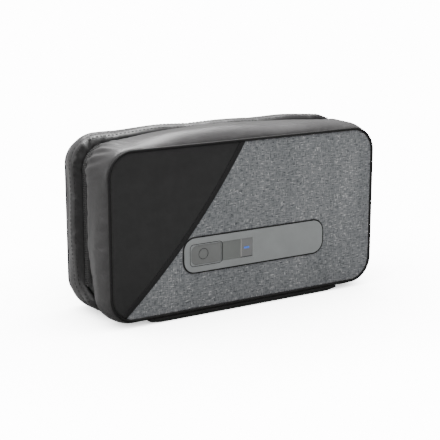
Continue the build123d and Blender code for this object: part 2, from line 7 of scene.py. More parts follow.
# %% Load the frame
import math
import bpy
import bmesh
import mathutils
import numpy as np
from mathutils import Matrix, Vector


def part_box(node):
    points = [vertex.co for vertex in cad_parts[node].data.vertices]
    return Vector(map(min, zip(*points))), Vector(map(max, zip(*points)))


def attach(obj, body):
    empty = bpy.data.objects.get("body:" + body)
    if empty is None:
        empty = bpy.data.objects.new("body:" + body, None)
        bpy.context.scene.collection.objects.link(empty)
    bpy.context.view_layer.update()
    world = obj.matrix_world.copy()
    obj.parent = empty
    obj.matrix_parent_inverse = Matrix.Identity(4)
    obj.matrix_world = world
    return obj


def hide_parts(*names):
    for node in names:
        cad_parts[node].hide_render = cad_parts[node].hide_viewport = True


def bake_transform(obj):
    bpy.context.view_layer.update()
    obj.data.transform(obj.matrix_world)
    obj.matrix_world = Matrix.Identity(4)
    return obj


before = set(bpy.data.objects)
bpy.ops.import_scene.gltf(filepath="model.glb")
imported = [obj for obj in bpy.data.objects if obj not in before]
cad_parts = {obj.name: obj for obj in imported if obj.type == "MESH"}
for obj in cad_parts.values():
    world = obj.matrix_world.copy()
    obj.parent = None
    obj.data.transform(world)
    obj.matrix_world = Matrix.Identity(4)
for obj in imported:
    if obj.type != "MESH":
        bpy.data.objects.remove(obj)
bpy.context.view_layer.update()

# %% [markdown]
# ## The seam line
# Everything soft on this pouch follows one rounded rectangle: the seam between a panel and its side
# wall. The cord in that seam gives its place, so the line is read from the cord's box and not typed in.

# %% Places of the seam
MM = 0.001
cord_radius = 0.8 * MM
corner_radius = 17.5 * MM
cord_low, cord_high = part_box("front_piping")
half_length = cord_high.x - cord_radius
seam_bottom = cord_low.z + cord_radius
seam_top = cord_high.z - cord_radius
front_seam = cord_low.y + cord_radius
back_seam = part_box("back_piping")[1].y - cord_radius
front_coil_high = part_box("front_zipper_coil")[1].y
back_coil_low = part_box("back_zipper_coil")[0].y
parting = (front_coil_high + back_coil_low) / 2
front_depth = parting - front_seam
back_depth = back_seam - parting
base_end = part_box("bottom_gusset")[1].x
seam_corners = (-half_length, seam_bottom), (half_length, seam_top)
print("seam", half_length * 2, "by", seam_top - seam_bottom, "depths", front_depth, back_depth)


# %% [markdown]
# ## Lines with rounded corners
# A sewn edge runs straight and turns on an arc. One helper makes such a line as evenly spaced points,
# with the direction that points away from the pouch at each of them. The same helper draws the
# cross-section of a wall, which is also straight runs joined by arcs.

# %% Filleted line
def unit(vector):
    return vector / np.linalg.norm(vector)


def left_of(direction):
    return np.array([-direction[1], direction[0]])


def turned(vector, angle):
    c, s = math.cos(angle), math.sin(angle)
    return np.array([c * vector[0] - s * vector[1], s * vector[0] + c * vector[1]])


def filleted(corners, radii, step):
    """Points along runs joined by arcs, the left-hand direction at each, and the length so far."""
    corners = [np.array(corner, float) for corner in corners]
    points, sides = [], []

    def straight(start, end):
        along = unit(end - start)
        count = max(1, round(np.linalg.norm(end - start) / step))
        for i in range(count):
            points.append(start + (end - start) * i / count)
            sides.append(left_of(along))

    start = corners[0]
    for before, corner, after, radius in zip(corners, corners[1:], corners[2:], radii):
        along, leaving = unit(corner - before), unit(after - corner)
        turn = math.atan2(along[0] * leaving[1] - along[1] * leaving[0], along @ leaving)
        cut = radius * math.tan(abs(turn) / 2)
        end = corner - along * cut
        straight(start, end)
        centre = end + left_of(along) * math.copysign(radius, turn)
        count = max(2, round(radius * abs(turn) / step))
        for i in range(count):
            points.append(centre + turned(end - centre, turn * i / count))
            sides.append(turned(left_of(along), turn * i / count))
        start = corner + leaving * cut
    straight(start, corners[-1])
    points.append(corners[-1])
    sides.append(left_of(unit(corners[-1] - start)))
    points, sides = np.array(points), np.array(sides)
    lengths = np.concatenate([[0], np.cumsum(np.linalg.norm(np.diff(points, axis=0), axis=1))])
    return points, sides, lengths


def rounded_line(low, high, radius, step, start, end):
    """Line from a foot at start, up and round a rectangle in X and Z, and down to a foot at end."""
    left, right = [(low[0], low[1]), (low[0], high[1])], [(high[0], high[1]), (high[0], low[1])]
    corners = [(start, low[1]), *left, *right, (end, low[1])]
    return filleted(corners, [radius] * 4, step)


def side_line(step, spread=0.0):
    """Seam from one end of the base strip, up, over the top and down to the other, in X and Z."""
    low, high = np.array(seam_corners[0]) - spread, np.array(seam_corners[1]) + spread
    return rounded_line(low, high, corner_radius + spread, step, -base_end, base_end)


def rounded_ring(low, high, radius, grow, step):
    """Closed rounded rectangle in X and Z, grown outwards, its last point left out."""
    low, high = np.array(low) - grow, np.array(high) + grow
    middle = (low[0] + high[0]) / 2
    return rounded_line(low, high, radius + grow, step, middle, middle)[0][:-1]


print("side wall line:", round(side_line(2 * MM)[2][-1], 4), "m")

# %% [markdown]
# ## Meshes from grids
# Cloth is a grid of threads, so a piece of cloth is a grid of faces. The helper below turns rows of
# points into a mesh whose faces look outwards, and keeps the distance along and across the cloth in
# the piece's UV map. The weave of a material reads that map, so it follows every fold.


# %% Grid to mesh
def linked(name, data):
    """New object in the scene."""
    made = bpy.data.objects.new(name, data)
    bpy.context.scene.collection.objects.link(made)
    return made


def smooth_object(name, mesh):
    """New object from a mesh, shaded smooth."""
    mesh.polygons.foreach_set("use_smooth", [True] * len(mesh.polygons))
    return linked(name, mesh)


def mesh_object(name, verts, faces, uvs=None):
    """New object from points and faces, with the cloth's own length and width in its UV map."""
    mesh = bpy.data.meshes.new(name)
    mesh.from_pydata([tuple(v) for v in verts], [], faces)
    if uvs is not None:
        layer = mesh.uv_layers.new(name="cloth")
        for loop in mesh.loops:
            layer.data[loop.index].uv = uvs[loop.vertex_index]
    return smooth_object(name, mesh)


def grid_faces(rows, columns, flip):
    """Faces of a grid of points."""
    faces = []
    for i in range(rows - 1):
        for j in range(columns - 1):
            a, b = i * columns + j, (i + 1) * columns + j
            face = (a, b, b + 1, a + 1)
            faces.append(face[::-1] if flip else face)
    return faces


def swept(name, line, section, depth_to_y, flip, shape=None):
    """Sheet whose section of outward and depth distances runs along a line.

    shape gives the outward distance from the length along, the width across, and the section's own."""
    points, sides, lengths = line
    section = np.array(section)
    across = np.concatenate([[0], np.cumsum(np.linalg.norm(np.diff(section, axis=0), axis=1))])
    verts, uvs = [], []
    for point, side, length in zip(points, sides, lengths):
        for (out, depth), width in zip(section, across):
            if shape:
                out = shape(length, width / across[-1], out)
            place = point + side * out
            verts.append((place[0], depth_to_y(depth), place[1]))
            uvs.append((length, across[-1] - width))
    faces = grid_faces(len(points), len(section), flip)
    return mesh_object(name, verts, faces, uvs)


def behind_front(depth):
    """Y of a depth behind the front seam."""
    return front_seam + depth


def before_back(depth):
    """Y of a depth in front of the back seam."""
    return back_seam - depth


def settle(piece):
    """The piece's modifiers made part of its mesh."""
    graph = bpy.context.evaluated_depsgraph_get()
    mesh = bpy.data.meshes.new_from_object(piece.evaluated_get(graph))
    piece.modifiers.clear()
    piece.data = mesh
    return piece


def thicken(piece, thickness, levels=1):
    """Gives a sheet its thickness inwards, rounds it and settles it."""
    wall = piece.modifiers.new("thickness", "SOLIDIFY")
    wall.thickness = thickness
    wall.offset = -1
    if levels:
        smooth = piece.modifiers.new("smooth", "SUBSURF")
        smooth.levels = levels
        smooth.render_levels = levels
    return settle(piece)


# %% [markdown]
# ## Camera, light and floor
# The camera stands where the photographer's did: low, to the left, about eighty centimetres away.
# A product shot on white needs a background that is far brighter than the light on the object, so
# what the camera sees behind the pouch and what lights it are set apart. The floor does the same: it
# shows nearly white, and darkens only close to the pouch, where less of the room is open above it.

# %% Camera
camera_place = Vector((-0.43017, -0.68290, 0.24581))
camera_aim = Vector((-0.0241, -0.033, 0.0661))
camera = linked("camera", bpy.data.cameras.new("camera"))
camera.data.lens = 93.85
camera.data.sensor_width = 36
camera.location = camera_place
camera.rotation_euler = (camera_aim - camera_place).to_track_quat("-Z", "Y").to_euler()
bpy.context.scene.camera = camera
print("camera", round((camera_aim - camera_place).length, 3), "m from the pouch")


# %% Soft lights
def soft_light(name, place, aim, size, power):
    """Square soft light."""
    light = linked(name, bpy.data.lights.new(name, "AREA"))
    light.data.size = size
    light.data.energy = power
    light.location = place
    light.rotation_euler = (Vector(aim) - Vector(place)).to_track_quat("-Z", "Y").to_euler()


soft_light("overhead", (0.12, 0.38, 0.9), (0, 0, 0.1), 0.6, 18)
soft_light("front_top", (0.0, -0.30, 0.85), (0, 0, 0.12), 0.35, 2.2)
soft_light("front_left", (-0.9, -1.3, 0.7), (0, 0, 0.05), 1.0, 3.2)
soft_light("left_rim", (-1.2, 0.35, 0.35), (0, 0, 0.06), 0.5, 3)


# %% Node helper
def node(tree, kind, inputs=None, **settings):
    """One node with its settings, and its sockets filled or linked."""
    made = tree.nodes.new(kind if "Node" in kind else "ShaderNode" + kind)
    for key, value in settings.items():
        setattr(made, key, value)
    for key, value in (inputs or {}).items():
        if isinstance(value, bpy.types.NodeSocket):
            tree.links.new(value, made.inputs[key])
        else:
            made.inputs[key].default_value = value
    return made


def maths(tree, operation, first, second=0.0):
    """Sum, product or other step on two values."""
    return node(tree, "Math", {0: first, 1: second}, operation=operation).outputs[0]


# %% Background and floor
backdrop_glow = 14.0
room_glow = 0.30
world = bpy.data.worlds.new("studio")
world.use_nodes = True
sky = world.node_tree.nodes["Background"]
sky.inputs["Color"].default_value = (1, 1, 1, 1)
seen = node(world.node_tree, "LightPath").outputs["Is Camera Ray"]
glow = maths(world.node_tree, "MULTIPLY_ADD", seen, backdrop_glow - room_glow)
glow.node.inputs[2].default_value = room_glow
world.node_tree.links.new(glow, sky.inputs["Strength"])
bpy.context.scene.world = world

bpy.ops.mesh.primitive_plane_add(size=6.0)
floor = bpy.context.object
floor.name = "floor"
paper = bpy.data.materials.new("paper")
paper.use_nodes = True
tree = paper.node_tree
diffuse = tree.nodes["Principled BSDF"]
diffuse.inputs["Base Color"].default_value = (0.3, 0.3, 0.3, 1)
diffuse.inputs["Roughness"].default_value = 0.9
near = node(tree, "AmbientOcclusion", {"Distance": 0.16}, samples=8).outputs["AO"]
shade = node(tree, "ValToRGB", {"Fac": near})
for spot, value in zip(shade.color_ramp.elements, (0.6, backdrop_glow)):
    spot.color = (value, value, value, 1)
shade.color_ramp.elements[0].position = 0.05
white = node(tree, "Emission", {"Color": shade.outputs["Color"], "Strength": 1.0})
shown = node(tree, "LightPath").outputs["Is Camera Ray"]
both = node(tree, "MixShader", {0: shown, 1: diffuse.outputs[0], 2: white.outputs[0]})
tree.links.new(both.outputs[0], tree.nodes["Material Output"].inputs["Surface"])
floor.data.materials.append(paper)
print("backdrop", backdrop_glow, "times as bright as plain white")


# %% [markdown]
# ## Building materials from nodes
# A material is a small recipe: where the pattern is read, how the colour varies, and how the surface
# is raised. What is the same all over goes straight on the shader's own sockets.

# %% Recipe helpers
def begin(name, roughness, metallic=0.0, **sockets):
    """New material with what is the same all over its surface."""
    made = bpy.data.materials.new(name)
    made.use_nodes = True
    shader = made.node_tree.nodes["Principled BSDF"]
    shader.inputs["Roughness"].default_value = roughness
    shader.inputs["Metallic"].default_value = metallic
    for key, value in sockets.items():
        shader.inputs[key.replace("_", " ")].default_value = value
    return made, made.node_tree, shader


def scaled(tree, source, scale=(1, 1, 1)):
    """Pattern coordinates, stretched by a scale for each direction."""
    coordinates = node(tree, "TexCoord").outputs[source]
    return node(tree, "Mapping", {"Vector": coordinates, "Scale": scale}).outputs["Vector"]


def noise(tree, vector, scale, detail=2.0, roughness=0.5):
    """Noise value between 0 and 1."""
    inputs = {"Vector": vector, "Scale": scale, "Detail": detail, "Roughness": roughness}
    return node(tree, "TexNoise", inputs).outputs["Fac"]


def ramp(tree, value, low, high, stops):
    """Colour that runs through the stops as the value goes from low to high."""
    made = node(tree, "ValToRGB", {"Fac": value})
    elements = made.color_ramp.elements
    while len(elements) < len(stops):
        elements.new(0.5)
    for i, colour in enumerate(stops):
        elements[i].position = low + (high - low) * i / (len(stops) - 1)
        elements[i].color = (*colour, 1)
    return made.outputs["Color"]


def grey(value, tint=(1, 1, 1)):
    """A grey, or that grey with a tint."""
    return tuple(value * t for t in tint)


def raise_by(tree, shader, height, distance, strength=1.0):
    """Small relief from a height value."""
    inputs = {"Height": height, "Distance": distance, "Strength": strength}
    bump = node(tree, "Bump", inputs)
    tree.links.new(bump.outputs["Normal"], shader.inputs["Normal"])


def painted(tree, mask, under, colour):
    """A colour laid over another one where the mask is 1."""
    mixed = node(tree, "Mix", data_type="RGBA")
    tree.links.new(mask, mixed.inputs["Factor"])
    tree.links.new(under, mixed.inputs[6])
    mixed.inputs[7].default_value = colour
    return mixed.outputs[2]


def waves(tree, vector, pitch, direction):
    """Rows of thread at a pitch, as a height between 0 and 1."""
    turns = math.pi / (10 * pitch)
    inputs = {"Vector": vector, "Scale": turns}
    return node(tree, "TexWave", inputs, bands_direction=direction).outputs["Fac"]


# %% [markdown]
# ### Coated fabric
# The side walls and the black corner are woven cloth under a soft coating. Seen close, the coating is
# slightly uneven and lets a little of the weave through, and it shines softly where it is curved. On the
# walls its colour also carries painted shade, darker towards the zipper, where the valley lies in shade.

# %% Coated fabric recipe
def coated_fabric(name, dark, light, roughness, sheen, source="UV", pitch=0.5 * MM, painted_shade_reach=0.0):
    """Soft coated cloth, mottled between two greys, and darkened by painted shade near its inner edge.
    """
    made, tree, shader = begin(
        name, roughness, Sheen_Weight=sheen, Sheen_Roughness=0.4, Specular_IOR_Level=0.5
    )
    across = ("X", "Y") if source == "UV" else ("X", "Z")
    vector = scaled(tree, source)
    mottle = noise(tree, vector, 90, 4, 0.6)
    tone = ramp(tree, mottle, 0.35, 0.65, [dark, light])
    # Painted shade: the cloth darkens towards its inner edge, the lip by the zipper, where the valley
    # lies in shade.
    if painted_shade_reach:
        from_edge = node(tree, "SeparateXYZ", {0: node(tree, "TexCoord").outputs["UV"]}).outputs["Y"]
        inputs = {"Value": from_edge, "From Min": 0.6 * painted_shade_reach, "From Max": painted_shade_reach, "To Min": 0.2}
        lit = node(tree, "MapRange", inputs).outputs["Result"]
        tone = node(tree, "HueSaturation", {"Color": tone, "Value": lit}).outputs["Color"]
    tree.links.new(tone, shader.inputs["Base Color"])
    warp, weft = (waves(tree, vector, pitch, direction) for direction in across)
    threads = maths(tree, "MULTIPLY", warp, weft)
    grain = noise(tree, vector, 1400, 2)
    crease = maths(tree, "MULTIPLY", noise(tree, vector, 130, 3), 3.0)
    relief = maths(tree, "ADD", maths(tree, "ADD", threads, grain), crease)
    raise_by(tree, shader, relief, 0.05 * MM, 0.7)
    return made


side_tint = (1.02, 0.99, 1.0)
# How far from the lip's end the walls carry painted shade for the valley by the zipper.
painted_valley_shade = 10.5 * MM
wall_tones = grey(0.064, side_tint), grey(0.080, side_tint)
wall_fabric = coated_fabric("wall_fabric", *wall_tones, 0.36, 0.15, painted_shade_reach=painted_valley_shade)
black_fabric = coated_fabric("black_fabric", grey(0.030), grey(0.037), 0.5, 0.02, "Object")
band_fabric = coated_fabric("band_fabric", grey(0.013), grey(0.018), 0.6, 0.02, "Object", 0.4 * MM)
cord_fabric = coated_fabric("cord_fabric", grey(0.006), grey(0.009), 0.65, 0.0, "Object")
base_fabric = coated_fabric("base_fabric", grey(0.030), grey(0.038), 0.5, 0.05, "Object")
print("fabrics:", [m.name for m in bpy.data.materials if m.name.endswith("_fabric")])


# %% [markdown]
# ### Heather fabric
# The grey panel is woven from yarn that was dyed in patches, so short light and dark dashes run both
# ways across it. Two noises are stretched, one along each thread direction, and a third picks which
# of them lies on top. A fourth, broad and faint, shades the cloth. The threads themselves are two
# crossed rows of waves.

# %% Heather recipe
def heather_fabric(name):
    """Grey cloth with crossing light and dark flecks."""
    made, tree, shader = begin(name, 0.85, Sheen_Weight=0.08, Sheen_Roughness=0.5)
    dashes = noise(tree, scaled(tree, "Object", (230, 1, 1250)), 1, 2)
    uprights = noise(tree, scaled(tree, "Object", (1250, 1, 230)), 1, 2)
    over = noise(tree, scaled(tree, "Object", (600, 1, 600)), 1, 1)
    choose = node(tree, "MapRange", {"Value": over, "From Min": 0.38, "From Max": 0.56})
    inputs = {"Factor": choose.outputs["Result"], "A": uprights, "B": dashes}
    flecks = node(tree, "Mix", inputs).outputs["Result"]
    band = noise(tree, scaled(tree, "Object", (38, 1, 7)), 1, 3, 0.6)
    shading = maths(tree, "MULTIPLY", maths(tree, "SUBTRACT", band, 0.5), 0.22)
    flecks = maths(tree, "ADD", flecks, shading)
    tones = [
        grey(0.130, (0.92, 1, 1.07)),
        grey(0.252, (0.94, 1, 1.05)),
        grey(0.345, (0.96, 1, 1.04)),
        grey(0.425, (0.98, 1, 1.03)),
        grey(0.800, (1.0, 1, 1.0)),
    ]
    tree.links.new(ramp(tree, flecks, 0.33, 0.69, tones), shader.inputs["Base Color"])
    vector = scaled(tree, "Object")
    warp, weft = (waves(tree, vector, 0.55 * MM, direction) for direction in "XZ")
    relief = maths(tree, "ADD", maths(tree, "MULTIPLY", warp, weft), flecks)
    raise_by(tree, shader, relief, 0.10 * MM, 0.6)
    return made


heather = heather_fabric("heather")


# %% [markdown]
# ### Hard finishes
# The lamp unit is moulded plastic with a fine spark-eroded grain, which scatters the light a little
# and wears smoother in patches. One recipe with different numbers gives every moulded piece its
# own grey, and also the laminate, the film and the ceramic inside.

# %% Moulded plastic recipe
def moulded(name, colour, roughness, grain=0.02 * MM, spread=0.06, metallic=0.0, **sockets):
    """Plastic or metal with a fine grain, slightly uneven in tone and gloss."""
    made, tree, shader = begin(name, roughness, metallic, **sockets)
    vector = scaled(tree, "Object")
    tone = noise(tree, vector, 60, 3)
    low, high = (grey(1 - spread, colour), grey(1 + spread, colour))
    tree.links.new(ramp(tree, tone, 0.3, 0.7, [low, high]), shader.inputs["Base Color"])
    worn = noise(tree, vector, 35, 4)
    gloss = node(
        tree, "MapRange", {"Value": worn, "To Min": roughness * 0.85, "To Max": roughness * 1.15}
    )
    tree.links.new(gloss.outputs["Result"], shader.inputs["Roughness"])
    raise_by(tree, shader, noise(tree, vector, 3500, 2), grain, 0.5)
    return made


plastics = {
    "module_bezel": moulded("bezel_plastic", grey(0.480, (0.955, 1.0, 1.0)), 0.42),
    "power_key": moulded("key_plastic", grey(0.300, (0.97, 1, 0.985)), 0.42),
    "control_inlay": moulded("inlay_plastic", grey(0.292, (0.95, 1, 0.965)), 0.35),
    "indicator_lens": moulded("lens_plastic", grey(0.325, (0.99, 1.0, 1.01)), 0.18),
    "module_rear_housing": moulded("housing_plastic", grey(0.09), 0.5),
    "switch_plunger": moulded("plunger_plastic", grey(0.12), 0.5),
    "tactile_switch": moulded("switch_body", grey(0.02), 0.4),
    "main_pcb": moulded("pcb_laminate", (0.01, 0.09, 0.035), 0.35, spread=0.25),
    "battery_cell": moulded("battery_foil", grey(0.55), 0.3, 0.08 * MM, 0.1, 0.9),
    "uv_lamp_strip": moulded("strip_laminate", grey(0.65), 0.4, metallic=0.3),
    "uv_emitters": moulded("emitter_ceramic", (0.75, 0.73, 0.6), 0.3),
    "strip_connector": moulded("connector_plastic", grey(0.6, (1, 0.97, 0.9)), 0.45),
    "charging_socket": moulded("socket_steel", grey(0.6), 0.28, metallic=1.0),
    "housing_screws": moulded("steel", grey(0.5), 0.3, metallic=1.0),
    "lid_magnet": moulded("magnet_nickel", grey(0.6, (1, 0.97, 0.92)), 0.22, metallic=1.0),
    "lid_sensor": moulded("sensor_body", grey(0.025), 0.45),
    "zipper_slider": moulded("slider_metal", grey(0.05), 0.36, 0.03 * MM, 0.15, 0.85),
    "pull_tab": moulded("tab_metal", grey(0.05), 0.34, 0.03 * MM, 0.15, 0.85),
    "uv_windows": moulded(
        "quartz", (0.93, 0.95, 1.0), 0.04, 0.0, 0.01, Transmission_Weight=0.92, IOR=1.46
    ),
    "indicator_led": moulded("led_resin", (0.7, 0.8, 0.9), 0.2, Transmission_Weight=0.3),
}
print(len(plastics), "hard finishes")


# %% [markdown]
# ### Light bar, ribbon, board and foil
# The bar is clear plastic lit from behind, brightest in its middle. The ribbon cable shows copper lines
# through amber film, the boards are pressed fibre, and the lining is cloth with a metal film that
# creases into sharp facets.

# %% Light bar, ribbon and board
light_plastic, tree, shader = begin("light_bar_plastic", 0.3)
shader.inputs["Emission Strength"].default_value = 0.55
bar_low, bar_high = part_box("light_bar")
height = node(tree, "SeparateXYZ", {0: node(tree, "TexCoord").outputs["Object"]}).outputs["Z"]
inputs = {"Value": height, "From Min": bar_low.z, "From Max": bar_high.z}
up_bar = node(tree, "MapRange", inputs).outputs["Result"]
bar_ends, bar_middle = (0.0, 0.0, 0.0), (0.04, 0.16, 0.85)
bar_glow = ramp(tree, up_bar, 0.1, 0.9, [bar_ends, bar_middle, (0.10, 0.30, 1.0), bar_middle, bar_ends])
bar_grey, bar_blue = grey(0.33), (0.05, 0.14, 0.6)
bar_tone = ramp(tree, up_bar, 0.1, 0.9, [bar_grey, bar_blue, bar_blue, bar_blue, bar_grey])
tree.links.new(bar_tone, shader.inputs["Base Color"])
tree.links.new(bar_glow, shader.inputs["Emission Color"])
plastics["light_bar"] = light_plastic

ribbon_film, tree, shader = begin("ribbon_film", 0.3, Coat_Weight=0.5)
lines = waves(tree, scaled(tree, "Object"), 0.5 * MM, "X")
film_tones = ramp(tree, lines, 0.45, 0.55, [(0.42, 0.16, 0.03), (0.60, 0.27, 0.10)])
tree.links.new(film_tones, shader.inputs["Base Color"])
raise_by(tree, shader, lines, 0.03 * MM)
plastics["sensor_ribbon"] = ribbon_film

board, tree, shader = begin("board", 0.9)
fibres = noise(tree, scaled(tree, "Object", (1, 1, 6)), 350, 5, 0.7)
board_tones = ramp(tree, fibres, 0.3, 0.7, [grey(0.10, (1, 0.9, 0.75)), grey(0.2, (1, 0.9, 0.75))])
tree.links.new(board_tones, shader.inputs["Base Color"])
raise_by(tree, shader, fibres, 0.15 * MM)
plastics["front_stiffener"] = plastics["back_stiffener"] = board

# %% Ring mark on the key
key_low, key_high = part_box("power_key")
ring_centre = Vector((-37.6 * MM, 0, 44.2 * MM))
ring_radius = 3.7 * MM
ring_line_width = 0.36 * MM
ring_ink = (0.012, 0.012, 0.012, 1)
key_finish = plastics["power_key"]
tree = key_finish.node_tree
shader = tree.nodes["Principled BSDF"]
moulded_tone = shader.inputs["Base Color"].links[0].from_socket
place = node(tree, "TexCoord").outputs["Object"]
from_ring = node(tree, "VectorMath", {0: place, 1: ring_centre}, operation="SUBTRACT").outputs[0]
flat_place = node(tree, "VectorMath", {0: from_ring, 1: (1, 0, 1)}, operation="MULTIPLY").outputs[0]
reach = node(tree, "VectorMath", {0: flat_place}, operation="LENGTH").outputs["Value"]
off_ring = maths(tree, "ABSOLUTE", maths(tree, "SUBTRACT", reach, ring_radius))
mark = maths(tree, "LESS_THAN", off_ring, ring_line_width / 2)
marked_tone = painted(tree, mark, moulded_tone, ring_ink)
tree.links.new(marked_tone, shader.inputs["Base Color"])
print("ring mark", round(2 * ring_radius / MM, 1), "mm across")

# %% Painted highlight and shadow at the lens edges
lens_low, lens_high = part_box("indicator_lens")
lens_finish = plastics["indicator_lens"]
tree = lens_finish.node_tree
shader = tree.nodes["Principled BSDF"]
lens_tone = shader.inputs["Base Color"].links[0].from_socket
spot = node(tree, "SeparateXYZ", {0: node(tree, "TexCoord").outputs["Object"]})
highlight_width, shadow_height = 0.45 * MM, 0.55 * MM
painted_edge_highlight, painted_foot_shadow = (0.72, 0.70, 0.68, 1), (0.04, 0.04, 0.045, 1)
# Painted highlight along the lens's left edge and painted shadow along its foot.
at_left = maths(tree, "LESS_THAN", spot.outputs["X"], lens_low.x + highlight_width)
at_foot = maths(tree, "LESS_THAN", spot.outputs["Z"], lens_low.z + shadow_height)
for mask, colour in ((at_left, painted_edge_highlight), (at_foot, painted_foot_shadow)):
    lens_tone = painted(tree, mask, lens_tone, colour)
tree.links.new(lens_tone, shader.inputs["Base Color"])
print("lens", round((lens_high.x - lens_low.x) / MM, 1), "mm wide")

# %% Finishes on the solids
for node_name, finish in plastics.items():
    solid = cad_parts[node_name]
    if not solid.material_slots:
        solid.data.materials.append(finish)
    for place in solid.material_slots:
        place.material = finish
print(len(plastics), "solids have their finish")

# %% Foil lining, zipper tape and coil
foil, tree, shader = begin("foil_lining", 0.3, 0.9)
facets = node(tree, "TexVoronoi", {"Vector": scaled(tree, "Object"), "Scale": 70}, feature="F1")
soft = noise(tree, scaled(tree, "Object"), 45, 4)
crumple = maths(tree, "ADD", facets.outputs["Distance"], soft)
foil_tones = ramp(tree, soft, 0.3, 0.7, [grey(0.62), grey(0.78, (0.98, 0.99, 1.0))])
tree.links.new(foil_tones, shader.inputs["Base Color"])
raise_by(tree, shader, crumple, 1.2 * MM, 0.8)

tape_cloth, tree, shader = begin("tape_cloth", 0.8, Sheen_Weight=0.1)
vector = scaled(tree, "UV")
ribs = waves(tree, vector, 0.9 * MM, "X")
fine = waves(tree, vector, 0.45 * MM, "Y")
tape_tones = ramp(tree, ribs, 0.1, 0.9, [grey(0.020), grey(0.055)])
tree.links.new(tape_tones, shader.inputs["Base Color"])
raise_by(tree, shader, maths(tree, "ADD", ribs, maths(tree, "MULTIPLY", fine, 0.4)), 0.12 * MM)

coil_plastic = moulded("coil_plastic", grey(0.15), 0.34, 0.01 * MM)
stitch_thread = moulded("stitch_thread", grey(0.075), 0.6, 0.02 * MM)


# %% [markdown]
# ## Puffed side walls
# Each half has one strip of foam-backed cloth round its edge. It starts under the seam's cord, swells
# outwards, rolls over a soft lip and goes down to the zipper's tape. At the two low corners the front
# wall draws back and the back wall folds forward over the end of the zipper, so the lip's depth
# changes along the line.

# %% Wall section
wall_bulge = 4.3 * MM
wall_rise = 9.0 * MM
valley_half = 4.8 * MM
tape_sink = 2.6 * MM
lip_round = 8.5 * MM
rise_radius = 24 * MM
cloth_step = 1.9 * MM
wall_thickness = 1.2 * MM


def smooth_step(value, low, high):
    """0 below low and 1 above high, with a soft change between them."""
    share = np.clip((value - low) / (high - low), 0, 1)
    return share * share * (3 - 2 * share)


def wall_section(depth, step):
    """Outward and depth distances across a wall, from seam to tape."""
    lip_start = depth - valley_half - lip_round
    corners = [(-cord_radius * 0.4, cord_radius), (wall_bulge, wall_rise), (wall_bulge, lip_start)]
    allowance = [(-2.2 * MM, 2.1 * MM), (-1.2 * MM, 1.5 * MM)]
    rise = np.concatenate([allowance, filleted(corners, [rise_radius], step)[0]])
    drop = wall_bulge + tape_sink
    count = round(math.pi / 4 * (lip_round + drop) / step)
    angles = np.linspace(0, math.pi / 2, count + 1)[1:]
    lip = [(drop * math.cos(a) - tape_sink, lip_start + lip_round * math.sin(a)) for a in angles]
    return np.concatenate([rise, lip])


most_drawn_back, drawn_from, drawn_to = 11.5 * MM, 13 * MM, 58 * MM
most_folded_over, folded_from, folded_to = 17.0 * MM, 11 * MM, 25 * MM


def drawn_back(height):
    """How far the front wall's lip lies nearer to its seam, low down."""
    return most_drawn_back * (1 - smooth_step(height, drawn_from, drawn_to))


def folded_over(height):
    """How far the back wall's lip reaches forward over the zipper's end, low down."""
    return most_folded_over * (1 - smooth_step(height, folded_from, folded_to))


def move_lip(piece, seam, depth, forward):
    """Moves the lip of a wall forward or back, and what lies between lip and seam in proportion."""
    for vertex in piece.data.vertices:
        share = min(1.0, abs(vertex.co.y - seam) / (depth - valley_half))
        vertex.co.y -= share * share * forward(vertex.co.z)


lip_over = 3.6 * MM
over_places = (0, 60, 118, 140, 168, 320, 343, 352, 480)
over_shares = (0.0, 0.0, 0.0, 0.35, 1.0, 1.0, 0.6, 0.0, 0.0)


def lean_over(piece, columns, seam, depth):
    """Leans the top of a wall's lip over the zipper, along the top and round the upper left corner."""
    for index, vertex in enumerate(piece.data.vertices):
        along = wall_line[2][index // columns] / MM
        share = min(1.0, abs(vertex.co.y - seam) / (depth - valley_half))
        corner = wall_line[0][index // columns], wall_line[1][index // columns]
        out = (np.array([vertex.co.x, vertex.co.z]) - corner[0]) @ corner[1]
        amount = lip_over * np.interp(along, over_places, over_shares) * smooth_step(share, 0.55, 0.95)
        vertex.co.y += math.copysign(amount * smooth_step(out, -1.2 * MM, 1.6 * MM), parting - seam)


# %% [markdown]
# The real pouch has been filled, handled and set down, so its walls don't swell evenly. The front wall
# stands up most over the middle of the top and is pulled flat at the corners, and the back wall has
# long soft folds. Swell is a share of the plain bulge at some lengths along the wall, and the folds
# are slow waves. The cloth solver then rounds all of it.

# %% Swell and folds along the walls
front_swell = (
    (0, 0.8), (25, 0.7), (45, 0.8), (80, 0.85), (105, 0.65), (128, 0.35), (146, 0.5), (163, 0.9),
    (185, 1.55), (215, 2.0), (250, 1.7), (283, 1.4), (313, 0.95), (335, 0.6), (350, 0.5),
    (375, 0.8), (430, 0.85), (450, 0.7), (476, 0.8),
)
back_swell = (
    (0, 0.7), (25, 0.5), (60, 0.6), (110, 0.65), (130, 0.7), (150, 1.0), (190, 1.4), (225, 1.25),
    (262, 1.4), (300, 1.35), (322, 1.0), (345, 0.55), (375, 0.7), (450, 0.6), (476, 0.7),
)
pleat_pitch = 6.5 * MM
corner_spots = (133 * MM, 342 * MM)


